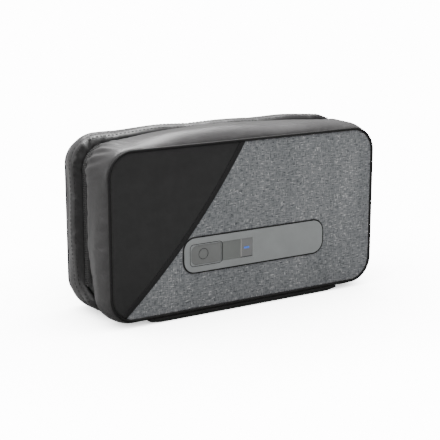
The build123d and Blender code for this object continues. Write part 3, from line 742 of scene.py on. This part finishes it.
def wall_shape(swell, fold_height, pleat_height, hem_height, hem_share, phase):
    """Outward distance of a wall at a length along it and a share across it."""
    places, shares = np.array(swell).T
    fine = np.arange(0, places[-1], 1.0)
    smooth = np.convolve(np.pad(np.interp(fine, places, shares), 9, "edge"), np.ones(19) / 19, "valid")

    def shape(length, share, out):
        along = length / MM
        factor = float(np.interp(along, fine, smooth)) if out > 0 else 1.0
        body = math.sin(math.pi * min(1.0, share * 1.02)) ** 0.8 if share < 0.98 else 0.0
        slow = math.sin(along / 31 + 5.5 * share + phase) * math.sin(along / 13 - 3 * share + 2 * phase)
        fold = fold_height * body * (slow + 0.5 * math.sin(along / 19 + 11 * share + phase))
        near = max(math.exp(-(((length - spot) / (17 * MM)) ** 2)) for spot in corner_spots)
        reach = smooth_step(share, 0.25, 0.6) * (1 - smooth_step(share, 0.93, 1.0))
        pleat = pleat_height * near * reach * math.sin(2 * math.pi * length / pleat_pitch + 13 * share)
        into = smooth_step(share, hem_share[0], hem_share[0] + 0.04)
        out_of = smooth_step(share, *hem_share[1:])
        hem = hem_height * into * (1 - out_of)
        return out * factor + fold + pleat + hem

    return shape


wall_line = side_line(cloth_step)
front_shape = wall_shape(front_swell, 0.5 * MM, 1.2 * MM, 0.5 * MM, (0.80, 0.93, 0.98), 0.4)
back_shape = wall_shape(back_swell, 0.8 * MM, 0.25 * MM, 0.55 * MM, (0.60, 0.80, 0.84), 2.1)
front_section = wall_section(front_depth, cloth_step)
back_section = wall_section(back_depth, cloth_step)
front_wall = swept("front_side_wall", wall_line, front_section, behind_front, False, front_shape)
back_wall = swept("back_side_wall", wall_line, back_section, before_back, True, back_shape)
move_lip(front_wall, front_seam, front_depth, drawn_back)
move_lip(back_wall, back_seam, back_depth, folded_over)
front_columns = len(front_section)
back_columns = len(back_section)
lean_over(front_wall, front_columns, front_seam, front_depth)
lean_over(back_wall, back_columns, back_seam, back_depth)
print("wall grids:", len(front_wall.data.vertices), len(back_wall.data.vertices), "points")

# %% [markdown]
# ## Letting the walls puff by simulation
# Real cloth was cut flat. Round a corner it is too long where the lip turns in, so it puckers there.
# Blender's cloth solver finds that shape: seam and tape are pinned, light air pressure fills the
# strip, and a weight map says where the cloth is longer than its place. The solver's steps suit
# garments, so the strip is simulated at twenty times its size, and a cap keeps every point within a
# millimetre of where it began.

# %% Cloth solver
sim_scale = 20.0
sim_frames = 24
most_spare = -0.20
corner_spare = -0.08
air_pressure = 2.0
puff_cap = 1.0 * MM
pinned_at_seam, pinned_at_tape = 3, 2


def spare_cloth(piece, round_spare, plain_spare):
    """Share of spare cloth at each point: most where the wall turns a corner."""
    corner_x = half_length - corner_radius
    low, high = seam_bottom + corner_radius, seam_top - corner_radius
    shares = []
    for vertex in piece.data.vertices:
        x, _, z = vertex.co
        round_corner = smooth_step(abs(x), corner_x - 12 * MM, corner_x + 4 * MM)
        at_top = smooth_step(z, high - 12 * MM, high + 4 * MM)
        at_foot = smooth_step(-z, -low, -low + 10 * MM)
        round_corner *= max(at_top, at_foot)
        shares.append(plain_spare + (round_spare - plain_spare) * float(round_corner))
    return shares


def puff(piece, spare, pinned, pressure, cap, bending):
    """Lets the cloth find its shape, then caps how far each point may be from where it began."""
    rest = np.array([v.co for v in piece.data.vertices])
    strip = piece.copy()
    strip.data = piece.data.copy()
    bpy.context.scene.collection.objects.link(strip)
    strip.data.vertices.foreach_set("co", (rest * sim_scale).ravel())
    pins = strip.vertex_groups.new(name="pins")
    pins.add([int(i) for i in pinned], 1.0, "REPLACE")
    cut = strip.vertex_groups.new(name="cut")
    for i, share in enumerate(spare):
        cut.add([i], min(1.0, max(0.0, 1 - share / most_spare)), "REPLACE")
    cloth = strip.modifiers.new("cloth", "CLOTH")
    settings = cloth.settings
    settings.quality = 6
    settings.tension_stiffness = settings.compression_stiffness = 15
    settings.shear_stiffness = 5
    settings.bending_stiffness = bending
    settings.vertex_group_mass = "pins"
    settings.vertex_group_shrink = "cut"
    settings.shrink_min = most_spare
    settings.shrink_max = 0.0
    settings.use_pressure = True
    settings.uniform_pressure_force = pressure
    settings.effector_weights.gravity = 0
    cloth.collision_settings.use_collision = False
    cloth.point_cache.frame_start = 1
    cloth.point_cache.frame_end = sim_frames
    for frame_number in range(1, sim_frames + 1):
        bpy.context.scene.frame_set(frame_number)
    result = strip.evaluated_get(bpy.context.evaluated_depsgraph_get())
    found = np.array([v.co for v in result.data.vertices]) / sim_scale
    bpy.data.objects.remove(strip)
    moved = found - rest
    distance = np.linalg.norm(moved, axis=1, keepdims=True)
    moved *= cap / np.maximum(cap, distance)
    piece.data.vertices.foreach_set("co", (rest + moved).ravel())
    piece.data.update()
    print(piece.name, "moved up to", round(float(distance.max()) / MM, 1), "mm")


def edge_points(piece, columns, seam_rows, tape_rows):
    """Indices of the points in the rows along both edges of a strip, and at its two ends."""
    count = len(piece.data.vertices)
    found = set(range(columns)) | set(range(count - columns, count))
    for start in range(0, count, columns):
        found |= set(range(start, start + seam_rows))
        found |= set(range(start + columns - tape_rows, start + columns))
    return sorted(found)


for wall, columns, plain_spare, bending in (
    (front_wall, front_columns, -0.015, 0.5),
    (back_wall, back_columns, -0.03, 0.4),
):
    pins = edge_points(wall, columns, pinned_at_seam, pinned_at_tape)
    puff(wall, spare_cloth(wall, corner_spare, plain_spare), pins, air_pressure, puff_cap, bending)


# %% [markdown]
# ## Lining behind the walls
# The lining is a second skin of foil cloth just inside each wall. It is made from the puffed wall
# itself, moved inwards, so it follows however the wall has folded.

# %% Inner skins
lining_gap = 2.1 * MM
foil_thickness = 0.3 * MM
skin_start = 5
skin_end = 4


def sheet_area(piece):
    """Area of a sheet without thickness."""
    return sum(face.area for face in piece.data.polygons)


def inner_skin(name, wall, columns, flip):
    """Skin that follows a wall a little inside it, from beside the seam to the lip."""
    normals = wall.data.vertex_normals
    kept = range(skin_start, columns - skin_end)
    rows = range(0, len(wall.data.vertices), columns)
    index = [row + column for row in rows for column in kept]
    verts = [wall.data.vertices[i].co - normals[i].vector * lining_gap for i in index]
    return mesh_object(name, verts, grid_faces(len(rows), len(kept), flip))


front_skin = inner_skin("front_lining_wall", front_wall, front_columns, False)
back_skin = inner_skin("back_lining_wall", back_wall, back_columns, True)

# %% [markdown]
# ## Stitches along a line
# A row of stitches is one short thread repeated along a path. A Geometry Nodes tree does that: it turns
# the path's edges into a curve, sets points on it at the stitch's pitch, and puts one rounded
# thread on each, turned along the path. The same tree, given a loop, makes the teeth of the zipper.

# %% Tree helpers
def new_tree(name, sizes):
    """Geometry Nodes tree with its geometry sockets and one named input for each size."""
    tree = bpy.data.node_groups.new(name, "GeometryNodeTree")
    tree.interface.new_socket("Geometry", in_out="INPUT", socket_type="NodeSocketGeometry")
    tree.interface.new_socket("Geometry", in_out="OUTPUT", socket_type="NodeSocketGeometry")
    for label, value in sizes.items():
        kind = "NodeSocketInt" if isinstance(value, int) else "NodeSocketFloat"
        tree.interface.new_socket(label, in_out="INPUT", socket_type=kind).default_value = value
    return tree, tree.nodes.new("NodeGroupInput").outputs, tree.nodes.new("NodeGroupOutput")


def close_tree(tree, result, geometry, finish):
    """Ends a tree: real geometry, smooth shading and its material."""
    real = node(tree, "GeometryNodeRealizeInstances", {"Geometry": geometry}).outputs[0]
    smooth = node(tree, "GeometryNodeSetShadeSmooth", {0: real}).outputs[0]
    dressed = node(tree, "GeometryNodeSetMaterial", {"Geometry": smooth, "Material": finish}).outputs[0]
    tree.links.new(dressed, result.inputs[0])


def grown(name, points, closed, tree, sizes):
    """Runs a tree on a path and gives back a plain mesh."""
    count = len(points)
    edges = [(i, (i + 1) % count) for i in range(count if closed else count - 1)]
    mesh = bpy.data.meshes.new(name)
    mesh.from_pydata([tuple(point) for point in points], edges, [])
    piece = linked(name, mesh)
    modifier = piece.modifiers.new("nodes", "NODES")
    modifier.node_group = tree
    for socket in tree.interface.items_tree:
        if socket.in_out == "INPUT" and socket.name in sizes:
            modifier[socket.identifier] = sizes[socket.name]
    settle(piece)
    print(name, len(piece.data.polygons), "faces")
    return piece


# %% Trees for stitches, teeth and cord
def along_path(tree, given, instance):
    """Puts an instance at each pitch of the path, its X along the path and its Z along Y."""
    curve = node(tree, "GeometryNodeMeshToCurve", {0: given["Geometry"]}).outputs[0]
    spaced = node(
        tree, "GeometryNodeResampleCurve", {"Curve": curve, "Length": given["Pitch"]}, mode="LENGTH"
    ).outputs[0]
    tangent = node(tree, "GeometryNodeInputTangent").outputs[0]
    facing = node(tree, "FunctionNodeAlignRotationToVector", {"Vector": tangent}, axis="X").outputs[0]
    level = node(
        tree,
        "FunctionNodeAlignRotationToVector",
        {"Rotation": facing, "Vector": (0, 1, 0)},
        axis="Z",
        pivot_axis="X",
    ).outputs[0]
    return node(
        tree,
        "GeometryNodeInstanceOnPoints",
        {"Points": spaced, "Instance": instance, "Rotation": level},
    ).outputs[0]


stitch_pitch = 3 * MM
stitch_sizes = {"Pitch": stitch_pitch, "Length": 2.2 * MM, "Radius": 0.22 * MM}
stitch_tree, given, result = new_tree("stitches", stitch_sizes)
thread = node(
    stitch_tree, "GeometryNodeMeshUVSphere", {"Segments": 8, "Rings": 5, "Radius": 1.0}
).outputs[0]
half = maths(stitch_tree, "MULTIPLY", given["Length"], 0.5)
stretch = node(stitch_tree, "CombineXYZ", {0: half, 1: given["Radius"], 2: given["Radius"]}).outputs[0]
thread = node(stitch_tree, "GeometryNodeTransform", {"Geometry": thread, "Scale": stretch}).outputs[0]
close_tree(stitch_tree, result, along_path(stitch_tree, given, thread), stitch_thread)

tooth_sizes = {"Pitch": 1.25 * MM, "Width": 3.0 * MM, "Height": 1.9 * MM, "Radius": 0.27 * MM}
tooth_tree, given, result = new_tree("zipper_teeth", tooth_sizes)
loop = node(tooth_tree, "GeometryNodeCurvePrimitiveCircle", {"Resolution": 9, "Radius": 0.5}).outputs[0]
shape = node(tooth_tree, "CombineXYZ", {0: given["Width"], 1: given["Height"], 2: 1.0}).outputs[0]
loop = node(tooth_tree, "GeometryNodeTransform", {"Geometry": loop, "Scale": shape}).outputs[0]
upright = (math.pi / 2, 0, math.pi / 2)
loop = node(tooth_tree, "GeometryNodeTransform", {"Geometry": loop, "Rotation": upright}).outputs[0]
round_wire = node(
    tooth_tree, "GeometryNodeCurvePrimitiveCircle", {"Resolution": 5, "Radius": given["Radius"]}
).outputs[0]
wire = {"Curve": loop, "Profile Curve": round_wire}
tooth = node(tooth_tree, "GeometryNodeCurveToMesh", wire).outputs[0]
close_tree(tooth_tree, result, along_path(tooth_tree, given, tooth), coil_plastic)

cord_sizes = {"Radius": 0.8 * MM, "Pucker": 0.12, "Pucker scale": 260.0}
cord_tree, given, result = new_tree("cord_in_seam", cord_sizes)
curve = node(cord_tree, "GeometryNodeMeshToCurve", {0: given["Geometry"]}).outputs[0]
pull = node(
    cord_tree, "TexNoise", {"Scale": given["Pucker scale"], "Detail": 1.0}, noise_dimensions="3D"
).outputs["Fac"]
pull = maths(cord_tree, "MULTIPLY", maths(cord_tree, "SUBTRACT", pull, 0.5), given["Pucker"])
pull = maths(cord_tree, "ADD", pull, 1.0)
curve = node(cord_tree, "GeometryNodeSetCurveRadius", {"Curve": curve, "Radius": pull}).outputs[0]
ring = node(
    cord_tree, "GeometryNodeCurvePrimitiveCircle", {"Resolution": 12, "Radius": given["Radius"]}
).outputs[0]
tube = node(cord_tree, "GeometryNodeCurveToMesh", {"Curve": curve, "Profile Curve": ring}).outputs[0]
close_tree(cord_tree, result, tube, cord_fabric)
print("trees:", [group.name for group in bpy.data.node_groups])


# %% Stitch rows on the walls
def wall_row(wall, columns, column, proud):
    """Points along one column of a wall, a little above its cloth."""
    found = []
    for start in range(0, len(wall.data.vertices), columns):
        normal = wall.data.vertex_normals[start + column].vector
        found.append(wall.data.vertices[start + column].co + normal * proud)
    return found


stitch_proud = 0.12 * MM
front_row = wall_row(front_wall, front_columns, front_columns - 4, stitch_proud)
back_rows = [wall_row(back_wall, back_columns, back_columns - k, stitch_proud) for k in (5, 7)]
front_stitches = grown("front_lip_stitches", front_row, False, stitch_tree, {"Pitch": stitch_pitch})
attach(front_stitches, "front_half")
for name, row in zip(("back_lip_stitches", "back_hem_stitches"), back_rows):
    stitches = grown(name, row, False, stitch_tree, {"Pitch": stitch_pitch})
    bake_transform(stitches)

# %% Thickness and place of walls and linings
for wall, node_name in ((front_wall, "front_gusset"), (back_wall, "back_gusset")):
    thicken(wall, wall_thickness)
    wall.data.materials.append(wall_fabric)
    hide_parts(node_name)
    print(wall.name, len(wall.data.polygons), "faces")
for skin in (front_skin, back_skin):
    calm = skin.modifiers.new("calm", "SMOOTH")
    calm.factor = 0.5
    calm.iterations = 8
    settle(skin)
    area, length = sheet_area(skin), wall_line[2][-1]
    thicken(skin, foil_thickness, 0)
    skin.data.materials.append(foil)
for piece in (front_wall, front_skin):
    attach(piece, "front_half")
for piece in (back_wall, back_skin):
    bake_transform(piece)


# %% [markdown]
# ## Flat pieces with rolled edges
# A cloth cover lies flat on its board and rolls down wherever it meets a seam or a gap. The outline
# comes from the solid's own front face. Points are set at that outline, in a few rows beside it and
# in a wide grid further in, and a triangulation joins them, so a sharp corner or a hole needs no
# special care. Each point's depth follows from its distance to the outline.

# %% Outlines and distances
def node_outlines(node_name, outward):
    """Closed outlines of a solid's front or back face, as lists of X and Z."""
    shape = bmesh.new()
    shape.from_mesh(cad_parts[node_name].data)
    bmesh.ops.remove_doubles(shape, verts=shape.verts, dist=1e-6)
    hidden = [face for face in shape.faces if face.normal.y * outward < 0.9]
    bmesh.ops.delete(shape, geom=hidden, context="FACES")
    edges = {edge for edge in shape.edges if len(edge.link_faces) == 1}
    outlines = []
    while edges:
        edge = edges.pop()
        first, vertex = edge.verts
        outline = [first]
        while vertex is not first:
            outline.append(vertex)
            edge = next(other for other in vertex.link_edges if other in edges)
            edges.remove(edge)
            vertex = edge.other_vert(vertex)
        outlines.append(np.array([(v.co.x, v.co.z) for v in outline]))
    shape.free()
    return outlines


def resampled(outline, step):
    """The same closed outline with no run longer than the step."""
    found = []
    for start, end in zip(outline, np.roll(outline, -1, axis=0)):
        count = max(1, math.ceil(np.linalg.norm(end - start) / step))
        found += [start + (end - start) * i / count for i in range(count)]
    return np.array(found)


def distance_to(points, outlines):
    """Distance from each point to the nearest outline."""
    nearest = np.full(len(points), np.inf)
    for outline in outlines:
        for start, end in zip(outline, np.roll(outline, -1, axis=0)):
            run = end - start
            share = np.clip((points - start) @ run / max(run @ run, 1e-18), 0, 1)
            gap = np.linalg.norm(points - start - share[:, None] * run, axis=1)
            nearest = np.minimum(nearest, gap)
    return nearest


def inside(points, outlines):
    """Whether each point lies within the outlines and not in a hole."""
    found = np.zeros(len(points), bool)
    for outline in outlines:
        for start, end in zip(outline, np.roll(outline, -1, axis=0)):
            crosses = (start[1] > points[:, 1]) != (end[1] > points[:, 1])
            slope = (end[0] - start[0]) / ((end[1] - start[1]) or 1)
            found ^= crosses & (points[:, 0] < start[0] + (points[:, 1] - start[1]) * slope)
    return found


# %% Flat sheet
row_distances = [0.25 * MM, 0.6 * MM, 1.1 * MM, 1.9 * MM]


def flat_sheet(name, outlines, surface_y, outward, roll, cell=6 * MM, swell=0.0, seed=0.0):
    """Cloth that lies in a plane and rolls down by roll at its outlines. outward is -1 in front."""
    outlines = [resampled(outline, 1.6 * MM) for outline in outlines]
    points, edges = [], []
    for outline in outlines:
        first = len(points)
        points += list(outline)
        edges += [(first + i, first + (i + 1) % len(outline)) for i in range(len(outline))]
    rows = []
    for distance in row_distances:
        for outline in outlines:
            along = np.roll(outline, -1, axis=0) - np.roll(outline, 1, axis=0)
            normals = np.stack([-along[:, 1], along[:, 0]], axis=1)
            normals /= np.linalg.norm(normals, axis=1, keepdims=True)
            for side in (1, -1):
                row = outline + normals * distance * side
                rows.append(row[distance_to(row, outlines) > distance * 0.97])
    low, high = np.min(points, axis=0), np.max(points, axis=0)
    across, up = np.meshgrid(np.arange(low[0], high[0], cell), np.arange(low[1], high[1], cell))
    across[::2] += cell / 2
    inner = np.stack([across.ravel(), up.ravel()], axis=1)
    rows.append(inner[distance_to(inner, outlines) > row_distances[-1] + cell * 0.3])
    within = np.concatenate(rows)
    every = [Vector(point) for point in points + list(within[inside(within, outlines)])]
    verts, _, faces, *_ = mathutils.geometry.delaunay_2d_cdt(every, edges, [], 2, 1e-7)
    flat = np.array([tuple(v) for v in verts])
    centres = np.array([flat[list(face)].mean(axis=0) for face in faces])
    faces = [face for face, kept in zip(faces, inside(centres, outlines)) if kept]
    inward = distance_to(flat, outlines)
    depth = np.maximum(roll - inward, 0)
    drop = roll - np.sqrt(np.maximum(roll * roll - depth * depth, 0))
    wave = np.sin(flat[:, 0] / (11 * MM) + seed) * np.sin(flat[:, 1] / (8 * MM) + 2 * seed)
    rise = swell * (0.6 + 0.4 * wave) * smooth_step(inward, roll, 9 * MM)
    y = surface_y - outward * (drop - rise)
    places = [(x, depth_y, z) for (x, z), depth_y in zip(flat, y)]
    spin = [tuple(face) if outward < 0 else tuple(face)[::-1] for face in faces]
    piece = mesh_object(name, places, spin, flat)
    if piece.data.polygons[0].normal.y * outward < 0:
        piece.data.flip_normals()
    print(name, len(faces), "faces")
    return piece


# %% [markdown]
# ## Front and back covers
# The front is covered in two cloths that meet under a slanting band. The back has one cloth. Each is
# half a millimetre thick and stretched over its board.

# %% Covers and band
cover_thickness = 0.5 * MM
cover_plan = (
    ("black_corner", "front_panel_corner", -1, 0.9 * MM, black_fabric, "black_cover", "front_half"),
    ("heather_front", "front_panel_melange", -1, 0.9 * MM, heather, "melange_cover", "front_half"),
    ("slanting_band", "diagonal_trim", -1, 0.42 * MM, band_fabric, "trim", "front_half"),
    ("heather_back", "back_panel", 1, 0.9 * MM, heather, "melange_cover", "back_half"),
)
for name, node_name, outward, roll, fabric, slot_name, body in cover_plan:
    low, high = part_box(node_name)
    surface = low.y if outward < 0 else high.y
    outlines = node_outlines(node_name, outward)
    cover = flat_sheet(name, outlines, surface, outward, roll, swell=0.1 * MM)
    thicken(cover, cover_thickness, 0)
    cover.data.materials.append(fabric)
    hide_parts(node_name)
    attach(cover, body)

# %% [markdown]
# ## Cord in the seams
# The edge seams are piped: a thin cord is sewn into the fold of the cloth. A tree sweeps a circle
# along the seam and lets its radius vary a little, as the thread pulls it in. The cloth round the cord
# makes it a little thicker, so it closes the gap between cover and wall.

# %% Seam cords
cord_cover = 0.2 * MM
cord_inset = 0.15 * MM
cord_points = rounded_ring(*seam_corners, corner_radius, -cord_inset, 1.5 * MM)
for name, node_name, y, body in (
    ("front_seam_cord", "front_piping", front_seam, "front_half"),
    ("back_seam_cord", "back_piping", back_seam, "back_half"),
):
    path = [(x, y, z) for x, z in cord_points]
    cord = grown(name, path, True, cord_tree, {"Radius": cord_radius + cord_cover})
    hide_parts(node_name)
    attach(cord, body)

# %% [markdown]
# ## Painted shadow lines round the lamp unit
# A thin black cord stands for the shadow round the bezel, where its edge meets the cloth, and another
# for the shadow in the gap round the key and the inlay: painted shade, made as black rubber. They are
# swept like the cord, along the outlines of the solids.

# %% Painted shadow lines
# Painted shade: black rubber that stands for the shadow lines round the bezel and the key.
shadow_line_rubber = moulded("shadow_line_rubber", grey(0.006), 0.6)
shadow_line_tree = cord_tree.copy()
shadow_line_tree.name = "shadow_line_in_gap"
for step in shadow_line_tree.nodes:
    if step.bl_idname == "GeometryNodeSetMaterial":
        step.inputs["Material"].default_value = shadow_line_rubber
bezel_low, bezel_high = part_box("module_bezel")
bezel_round = 8.5 * MM
key_round = 2.6 * MM
bezel_shadow_line_y = -33.05 * MM
key_shadow_line_y = bezel_low.y + 0.05 * MM
for name, low, high, radius, grow, y, thick, slot_name in (
    (
        "bezel_shadow_line", bezel_low, bezel_high, bezel_round,
        0.4 * MM, bezel_shadow_line_y, 0.55 * MM, "bezel_plastic",
    ),
    ("key_shadow_line", key_low, key_high, key_round, 0.12 * MM, key_shadow_line_y, 0.22 * MM, "key_plastic"),
):
    outline = rounded_ring((low.x, low.z), (high.x, high.z), radius, grow, 0.8 * MM)
    sizes = {"Radius": thick, "Pucker": 0.0}
    shadow_line = grown(name, [(x, y, z) for x, z in outline], True, shadow_line_tree, sizes)
    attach(shadow_line, "front_half")

# %% [markdown]
# ## Zipper
# Each half carries a woven tape with one row of the coil on its edge. The coil is one long plastic wire
# wound into loops, so a row is a loop repeated at the coil's pitch. The rows are half a pitch apart,
# and their heads reach between each other.

# %% Tapes
tape_step = 2.2 * MM
zipper_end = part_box("front_zipper_coil")[0].z
tape_low, tape_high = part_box("front_zipper_tape")
tape_outer = tape_high.x - half_length
valley_drift = 15 * MM
tape_sag = 0.25 * MM
tape_thickness = 0.5 * MM


def valley_shift(height):
    """How far forward the zipper's valley lies, under the zipper's end."""
    return valley_drift * (1 - smooth_step(height, 8 * MM, zipper_end + 3 * MM))


def tape(name, node_name, edge_y, coil_y, follow):
    """Woven tape from under a wall's lip to the coil."""
    line = side_line(tape_step, -tape_sink)
    share = np.linspace(0, 1, 9)
    section = [(-tape_sag * math.sin(math.pi * s), edge_y + (coil_y - edge_y) * s) for s in share]
    piece = swept(name, line, section, lambda y: y, coil_y < edge_y)
    for vertex in piece.data.vertices:
        at_edge = (vertex.co.y - coil_y) / (edge_y - coil_y)
        shift = valley_shift(vertex.co.z)
        vertex.co.y -= shift + max(0.0, follow(vertex.co.z) - shift) * at_edge
    thicken(piece, tape_thickness, 0)
    piece.data.materials.append(tape_cloth)
    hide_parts(node_name)
    return piece


tape_tuck = 1.8 * MM
tape_clearance = 0.12 * MM
front_edge, back_edge = parting - tape_clearance, parting + tape_clearance
front_tape = tape("front_tape", "front_zipper_tape", tape_low.y - tape_tuck, front_edge, drawn_back)
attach(front_tape, "front_half")
back_tape_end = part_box("back_zipper_tape")[1].y
back_tape = tape("back_tape", "back_zipper_tape", back_tape_end + tape_tuck, back_edge, folded_over)
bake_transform(back_tape)

# %% Coil rows
head_reach = 0.25 * MM
coil_pitch = 1.25 * MM
coil_height = 1.9 * MM
coil_out = tape_outer + 0.2 * MM + coil_height / 2
points, _, _ = side_line(coil_pitch / 2, coil_out)
coil_path = [point for point in points if point[1] >= zipper_end]
for name, node_name, front_y, back_y, start in (
    ("front_coil_row", "front_zipper_coil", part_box("front_zipper_coil")[0].y, parting + head_reach, 0),
    ("back_coil_row", "back_zipper_coil", parting - head_reach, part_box("back_zipper_coil")[1].y, 1),
):
    path = [(x, (front_y + back_y) / 2, z) for x, z in coil_path[start:]]
    width = back_y - front_y - 0.5 * MM
    sizes = {"Pitch": coil_pitch, "Width": width, "Height": coil_height}
    row = grown(name, path, False, tooth_tree, sizes)
    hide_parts(node_name)
    if start:
        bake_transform(row)
    else:
        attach(row, "front_half")

# %% [markdown]
# ## Linings and base
# The flat linings are foil cloth stretched over the boards, with a cut-out for the lamp unit in front.
# The base is a thick strip whose long edges round up into the walls and whose ends lift a little.

# %% Flat linings
housing_low, housing_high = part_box("module_rear_housing")
lining_inset = 2.0 * MM
lining_depth = 2.85 * MM
lining_thickness = 0.4 * MM
sheet_line = rounded_ring(*seam_corners, corner_radius, -lining_inset, 3 * MM)
unit_gap = 0.6 * MM
unit_low = np.array([housing_low.x, housing_low.z]) - unit_gap
unit_high = np.array([housing_high.x, housing_high.z]) + unit_gap
unit_radius = (unit_high[1] - unit_low[1]) * 0.36
cut_line = rounded_ring(unit_low, unit_high, unit_radius, 0, 2 * MM)
for name, node_name, seam, outward, outlines, body in (
    ("front_lining_sheet", "front_lining", front_seam, 1, [sheet_line, cut_line], "front_half"),
    ("back_lining_sheet", "back_lining", back_seam, -1, [sheet_line], "back_half"),
):
    inner_y = seam + outward * lining_depth
    flat_piece = flat_sheet(name, outlines, inner_y, outward, 0.6 * MM, swell=0.5 * MM, seed=1.0)
    area = sheet_area(flat_piece)
    thicken(flat_piece, lining_thickness, 0)
    flat_piece.data.materials.append(foil)
    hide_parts(node_name)
    height = sheet_line[:, 1].max() - sheet_line[:, 1].min()
    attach(flat_piece, body)

# %% Base strip
base_low, base_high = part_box("bottom_gusset")
base_lift = 1.2 * MM
base_edge = 1.9 * MM
lining_above_base = 0.5 * MM


def soft_slab(name, low, high, edge, steps_x, steps_y):
    """Closed slab with rounded edges, its ends lifted a little off the floor."""
    shape = bmesh.new()
    bmesh.ops.create_cube(shape, size=1.0)
    centre, size = (Vector(low) + Vector(high)) / 2, Vector(high) - Vector(low)
    for vertex in shape.verts:
        vertex.co = centre + Vector(a * b for a, b in zip(vertex.co, size))
    bmesh.ops.bevel(
        shape, geom=shape.edges[:], offset=edge, segments=4, profile=0.6, affect="EDGES"
    )
    for steps, axis in ((steps_x, 0), (steps_y, 1)):
        for i in range(1, steps):
            place = list(centre)
            place[axis] = low[axis] + size[axis] * i / steps
            across = [0, 0, 0]
            across[axis] = 1
            geometry = shape.verts[:] + shape.edges[:] + shape.faces[:]
            bmesh.ops.bisect_plane(shape, geom=geometry, plane_co=place, plane_no=across)
    for vertex in shape.verts:
        end = smooth_step(abs(vertex.co.x), base_end - 10 * MM, base_end)
        under = 1 - smooth_step(vertex.co.z, low[2], high[2])
        vertex.co.z += base_lift * end * under
    mesh = bpy.data.meshes.new(name)
    shape.to_mesh(mesh)
    shape.free()
    return smooth_object(name, mesh)


base = soft_slab("base_strip", tuple(base_low), tuple(base_high), base_edge, 40, 14)
base.data.materials.append(base_fabric)
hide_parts("bottom_gusset")
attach(base, "front_half")

lining_low, lining_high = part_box("bottom_lining")
base_outline = np.array(
    [(lining_low.x, lining_low.y), (lining_high.x, lining_low.y),
     (lining_high.x, lining_high.y), (lining_low.x, lining_high.y)]
)
base_lining = flat_sheet("base_lining", [base_outline], 0, -1, 0.3 * MM, swell=0.3 * MM)
for vertex in base_lining.data.vertices:
    x, y, z = vertex.co
    vertex.co = (x, z, base_high.z + lining_above_base - y)
base_lining.data.flip_normals()
area = sheet_area(base_lining)
thicken(base_lining, foil_thickness, 0)
base_lining.data.materials.append(foil)
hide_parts("bottom_lining")
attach(base_lining, "front_half")

# %% [markdown]
# ## Cloth hinge
# The back half folds down about a line just behind the base. Cloth crosses that line, from the base
# to the back panel, black outside and foil inside. Each is a narrow strip that lies across that line.
# In front the foil turns up from the base to the panel in the same way, and there nothing bends.

# %% Hinge strips
hinge_steps = 60
strip_thickness = 0.35 * MM
past_corner = 8 * MM
reach = half_length - corner_radius + past_corner
inside_points = [
    (27.0, 4.6), (29.5, 4.5), (31.0, 4.7), (31.4, 5.8), (30.7, 7.2), (29.6, 8.4), (29.3, 10.5),
]
outside_points = [
    (26.5, 2.2), (30.0, 2.0), (31.8, 2.2), (32.9, 3.0), (33.1, 4.2), (32.4, 5.4), (31.6, 6.6),
]


def corner_rise(x):
    """Height of the seam's corner above its straight run."""
    past = max(0.0, abs(x) - half_length + corner_radius)
    return corner_radius - math.sqrt(corner_radius**2 - past**2)


for name, across, finish, slot_name in (
    ("hinge_lining", inside_points, foil, "silver_lining"),
    ("hinge_cloth", outside_points, base_fabric, "gusset_fabric"),
    ("front_foot_lining", [(-y, z) for y, z in inside_points], foil, "silver_lining"),
):
    stations = np.linspace(-reach, reach, hinge_steps)
    verts = [(x, y * MM, z * MM + corner_rise(x)) for x in stations for y, z in across]
    strip = mesh_object(name, verts, grid_faces(hinge_steps, len(across), False))
    bm = bmesh.new()
    bm.from_mesh(strip.data)
    bmesh.ops.recalc_face_normals(bm, faces=bm.faces)
    bm.to_mesh(strip.data)
    bm.free()
    area = sheet_area(strip)
    width = area / (2 * reach)
    thicken(strip, strip_thickness, 1)
    strip.data.materials.append(finish)
    if name == "front_foot_lining":
        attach(strip, "front_half")
    else:
        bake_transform(strip)
    print(name, round(width / MM, 1), "mm across")
